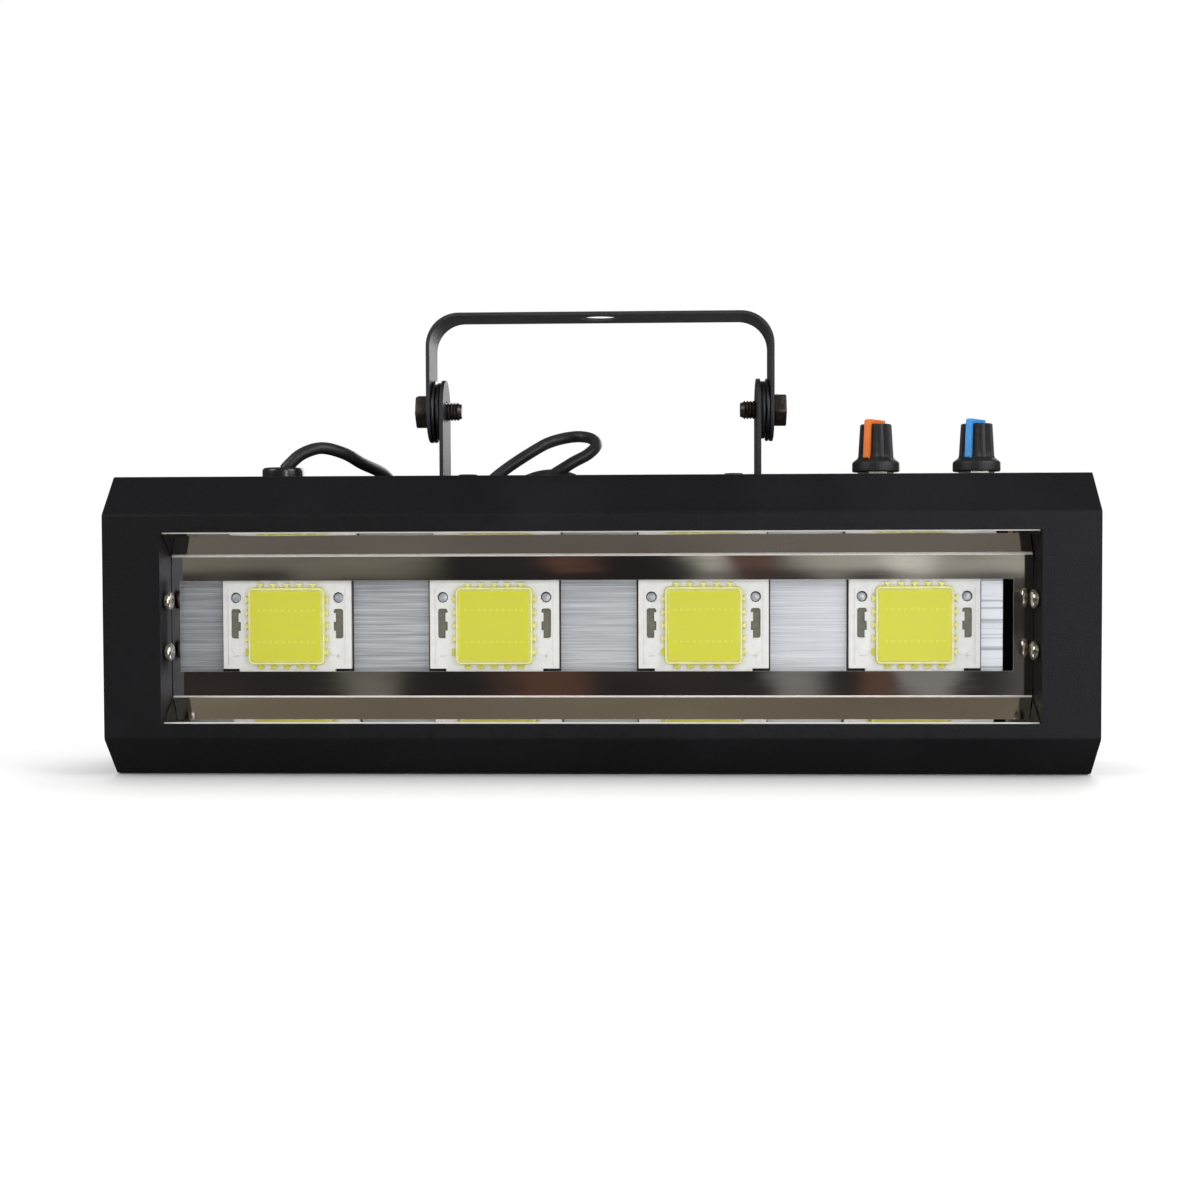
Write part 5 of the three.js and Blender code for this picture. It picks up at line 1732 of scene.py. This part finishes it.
@dataclass
class Bushing(Assembly):
    """The snap-in bushing that the lead comes out of."""

    flange: float = 6.7 * MM
    flange_edges: Point = (0.25 * MM, 1.1 * MM)
    rise: float = 3.5 * MM
    mouth: float = 4.6 * MM
    lip: float = 0.35 * MM
    throat: float = 3.5 * MM
    throat_slope: Point = (0.4 * MM, 1.2 * MM)
    mouth_depth: float = 2.5 * MM
    neck: float = 5.3 * MM
    barb: float = 6.65 * MM
    barb_root: float = 4.6 * MM
    barb_run: Point = (1.2 * MM, 3.4 * MM)
    panel: float = 1.8 * MM
    end: Point = (4 * MM, -12.7 * MM)
    end_edge: Point = (0.3 * MM, 0.4 * MM)

    def profile(self) -> list[Point]:
        """The bushing from its lower end, round the barb and the flange, into its mouth.

        Returns:
            The points as (radius, height).
        """
        r, top, lip = self.flange, self.rise, self.lip
        low, round_edge = self.flange_edges
        across, along = self.throat_slope
        x, z = self.end
        latch = -self.panel
        floor = top - self.mouth_depth
        flat, steep = (latch - run for run in self.barb_run)
        outside = arc((r - round_edge, top - round_edge), round_edge, 0, QUARTER, 8)
        inside = arc((self.mouth + lip, top - lip), lip, QUARTER, math.pi, 4)[1:]
        return [
            (0, z), (x - self.end_edge[0], z), (x, z + self.end_edge[1]), (x, steep),
            (self.barb_root, steep), (self.barb, flat), (self.barb, latch),
            (self.neck, latch), (self.neck, 0), (r - low, 0), (r, low),
            *outside, *inside, (self.throat + across, floor + along), (self.throat, floor + across),
            (self.throat - across, floor), (0, floor),
        ]

    def build(self) -> None:
        """Turns the bushing's profile: round flange, flared mouth, neck and snap barb."""
        low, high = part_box("cord_bushing")
        form = Form()
        form.spun(self.profile(), 72)
        form.outward()
        form.move(Matrix.Translation(((low.x + high.x) / 2, (low.y + high.y) / 2, high.z - self.rise)))
        self.add(form.piece("cord_bushing_fine", Surface.GLAND), "black_nylon", "cord_bushing")


@dataclass
class Electronics(Assembly):
    """The boards and parts inside, which show only through the vents."""

    edge: float = 0.3 * MM
    fin_edge: float = 0.15 * MM

    def build(self) -> None:
        """Rounds and dresses the parts on the boards."""
        for node, finish in (
            ("power_board", Surface.BOARD), ("control_board", Surface.BOARD), ("capacitor", Surface.SLEEVE),
        ):
            self.dress(node, finish)
        for node, finish, slot in (
            ("mains_terminal", Surface.TERMINAL, "green_plastic"),
            ("transformer", Surface.TAPE, "winding_tape"),
            ("rectifier", Surface.EPOXY, "black_nylon"),
        ):
            self.refine(node, finish, slot, self.edge)
        self.refine("driver_cooler", ExtrudedAluminium(), "extruded_aluminium", self.fin_edge)


# The studio.


@dataclass(frozen=True)
class Glimpse:
    """One upright bar of the room that the mirror shows."""

    low: float
    high: float
    color: Color
    upper: bool
    soft: float = 0.02
    above: Point = (0.026, 0.044)
    below: Point = (-0.02, -0.06)

    def laid(self, s: Shader, along: Value, z: Value, tone: NodeSocket) -> NodeSocket:
        """Lays the bar over a tone.

        Args:
            s: The card's shader.
            along: The place along the card.
            z: The place up the card.
            tone: The colour below the bar.

        Returns:
            The colour with the bar.
        """
        row = z.ramp(*(self.above if self.upper else self.below))
        rise = along.ramp(self.low - self.soft, self.low + self.soft)
        fall = along.ramp(self.high + self.soft, self.high - self.soft)
        return s.mix(row * rise * fall, tone, self.color)


@dataclass(frozen=True)
class DarkRoom(Finish):
    """The room that the front reflects: dark in the middle, bright at the side, pale above and below."""

    name: str = "front_card"
    warp: Sizes = (0.10, 1.0, 0.05)
    cloud: Sizes = (0.2, 1.0, 0.1)
    drift: Sizes = (0.45, 1.0, 0.6)
    glimpses: tuple[Glimpse, ...] = (
        Glimpse(-0.56, -0.24, (0.180, 0.168, 0.135), True, 0.04),
        Glimpse(-0.10, -0.04, (0.100, 0.050, 0.038), True),
        Glimpse(0.06, 0.10, (0.60, 0.58, 0.52), True, 0.012),
        Glimpse(0.10, 0.17, (0.110, 0.065, 0.052), True),
        Glimpse(0.19, 0.60, (0.40, 0.385, 0.34), True, 0.04),
        Glimpse(0.28, 0.33, (0.70, 0.69, 0.64), True),
        Glimpse(-0.36, -0.29, (0.20, 0.19, 0.165), False, 0.012),
        Glimpse(-0.18, -0.10, (0.095, 0.050, 0.036), False),
        Glimpse(0.12, 0.17, (0.22, 0.21, 0.205), False, 0.012),
        Glimpse(0.21, 0.26, (0.110, 0.062, 0.044), False, 0.012),
        Glimpse(0.27, 0.34, (0.24, 0.23, 0.22), False, 0.012),
        Glimpse(0.38, 0.60, (0.080, 0.076, 0.074), False),
    )

    def paint(self, s: Shader) -> None:
        """Lays the glimpses over the dark, then the bright side and the pale ends.

        Args:
            s: The material's shader.
        """
        x = s.axis("X")
        z = s.axis("Z")
        along = x + (s.noise(self.warp, 2, 2.6) - 0.5) * 0.10 + z * 0.3
        clouds = s.noise(self.cloud, 2, 8.1).ramp(0.3, 0.7)
        room = s.mix(clouds, (0.013, 0.0115, 0.012), (0.034, 0.028, 0.027))
        for glimpse in self.glimpses:
            room = glimpse.laid(s, along, z, room)
        side = s.mix(x.ramp(0.74, 1.0), (6.0, 6.05, 7.0), (0.42, 0.41, 0.40))
        side = s.mix(x.ramp(1.25, 1.7), side, (0.20, 0.19, 0.18))
        room = s.mix(x.ramp(0.44, 0.62), room, side)
        drift = s.noise(self.drift, 2, 5.3).ramp(0.35, 0.65)
        below = s.mix(drift, (0.215, 0.20, 0.185), (0.165, 0.152, 0.145))
        above = s.mix(drift, (0.27, 0.245, 0.19), (0.215, 0.19, 0.15))
        lower = s.mix(z.ramp(-0.35, -0.8), room, below)
        tone = s.mix(z.ramp(0.45, 0.9), lower, above)
        s.set(base_color=(0.0, 0.0, 0.0), roughness=1.0, emission_strength=1.0, emission_color=tone)


@dataclass(frozen=True)
class PaleFloor(Finish):
    """A pale floor that turns into the white background far from the object."""

    name: str = "pale_floor"
    grain: float = 3 * MM
    depth: float = 0.01 * MM
    fade: Point = (0.35, 1.1)

    def paint(self, s: Shader) -> None:
        """Gives it a fine grain, and white for the camera where it's far.

        Args:
            s: The material's shader.
        """
        s.set(
            base_color=(0.90, 0.90, 0.90),
            roughness=0.75,
            specular_ior_level=0.1,
            normal=s.bump(s.noise(self.grain, 2, 1.0), self.depth),
        )
        far = (s.axis("X") ** 2 + s.axis("Y") ** 2) ** 0.5
        s.glow_for_camera(far.ramp(*self.fade), (1.0, 1.0, 1.0))


@dataclass(frozen=True)
class Softbox:
    """A soft rectangular lamp that faces the object."""

    name: str
    place: tuple[float, float, float]
    size: Point
    power: float
    reflected: bool = True
    aim: tuple[float, float, float] = (0.0, 0.0, 0.06)

    def build(self) -> None:
        """Hangs the lamp up, out of the camera's sight."""
        data = bpy.data.lights.new(self.name, "AREA")
        data.shape = "RECTANGLE"
        data.size, data.size_y = self.size
        data.energy = self.power
        made = linked(bpy.data.objects.new(self.name, data))
        turn = (Vector(self.aim) - Vector(self.place)).to_track_quat("-Z", "Y").to_matrix().to_4x4()
        made.matrix_world = Matrix.Translation(self.place) @ turn
        made.visible_camera = False
        made.visible_glossy = self.reflected


@dataclass
class Studio:
    """The camera, the floor, the soft lamps and the dark room in front of the light."""

    camera_place: tuple[float, float, float] = (0.0188, -0.532, 0.0693)
    camera_turns: tuple[tuple[float, str], ...] = ((2.05, "Z"), (-1.76, "X"), (0.20, "Y"), (90, "X"))
    lens: float = 50.07
    floor_size: float = 9.0
    floor_top: float = -0.2 * MM
    floor_bottom: float = -20 * MM
    world_light: float = 0.55
    world_shine: float = 0.12
    card: tuple[tuple[float, float, float], ...] = ((-2.2, -1.42, -3.0), (2.2, -1.4, 3.6))
    lamps: tuple[Softbox, ...] = (
        Softbox("left_softbox", (-1.25, -0.8, 0.85), (0.9, 0.9), 10.0),
        Softbox("right_softbox", (1.0, -0.6, 0.7), (0.7, 0.9), 9.0),
        Softbox("top_softbox", (0.0, 0.35, 1.3), (1.2, 0.8), 8.0, reflected=False),
        Softbox("back_softbox", (0.5, 1.4, 0.5), (1.0, 0.8), 9.0),
    )

    def camera(self) -> None:
        """Puts the camera where the photograph was taken."""
        data = bpy.data.cameras.new("camera")
        data.lens = self.lens
        data.sensor_width = 36
        data.clip_start = 10 * MM
        turn = Matrix()
        for angle, axis in self.camera_turns:
            turn = turn @ Matrix.Rotation(math.radians(angle), 4, axis)
        made = linked(bpy.data.objects.new("camera", data))
        made.matrix_world = Matrix.Translation(self.camera_place) @ turn
        bpy.context.scene.camera = made

    def floor(self) -> None:
        """Lays the floor just below the object."""
        form = Form()
        half = self.floor_size / 2
        form.box((-half, -half, self.floor_bottom), (half, half, self.floor_top))
        floor = form.piece("studio_floor", PaleFloor())
        floor.visible_glossy = False

    def front_card(self) -> None:
        """The dark room that the front and the mirror reflect. Nothing else sees it."""
        form = Form()
        form.box(*self.card)
        card = form.piece("front_card", DarkRoom())
        for sight in ("camera", "diffuse", "shadow", "transmission"):
            setattr(card, f"visible_{sight}", False)

    def world(self) -> None:
        """White for the camera and through clear things, soft grey as light, darker in reflections."""
        world = bpy.data.worlds.new("studio")
        tree = Tree(world)
        path = tree.node("ShaderNodeLightPath").outputs
        seen = {0: path["Is Camera Ray"], 1: path["Is Transmission Ray"]}
        both = tree.node("ShaderNodeMath", {"operation": "MAXIMUM"}, seen)
        shares = {"Value": path["Is Glossy Ray"], "To Min": self.world_light, "To Max": self.world_shine}
        lit = tree.node("ShaderNodeMapRange", {}, shares)
        shares = {"Value": both.outputs[0], "To Min": lit.outputs["Result"], "To Max": 1.0}
        strength = tree.node("ShaderNodeMapRange", {}, shares)
        values = {"Color": (1.0, 1.0, 1.0), "Strength": strength.outputs["Result"]}
        background = tree.node("ShaderNodeBackground", {}, values)
        tree.node("ShaderNodeOutputWorld", {}, {"Surface": background.outputs["Background"]})
        bpy.context.scene.world = world

    def build(self) -> None:
        """Lights the scene."""
        bpy.context.scene.view_settings.view_transform = "Standard"
        self.world()
        self.floor()
        self.front_card()
        for lamp in self.lamps:
            lamp.build()


def main() -> None:
    """Builds the light, piece by piece, and the studio round it."""
    studio = Studio()
    studio.camera()
    parts = [
        MainsLead(),
        Housing(),
        MirrorTray(),
        LedRow(),
        TiltYoke(),
        RotaryKnob("speed", 88 * MM, Surface.ORANGE, "orange_plastic"),
        RotaryKnob("dimmer", 120 * MM, Surface.BLUE, "blue_plastic"),
        Bushing(),
        Electronics(),
    ]
    for part in parts:
        log.info("%s", type(part).__name__)
        part.build()
    studio.build()
    bpy.context.view_layer.update()


if __name__ == "__main__":
    main()
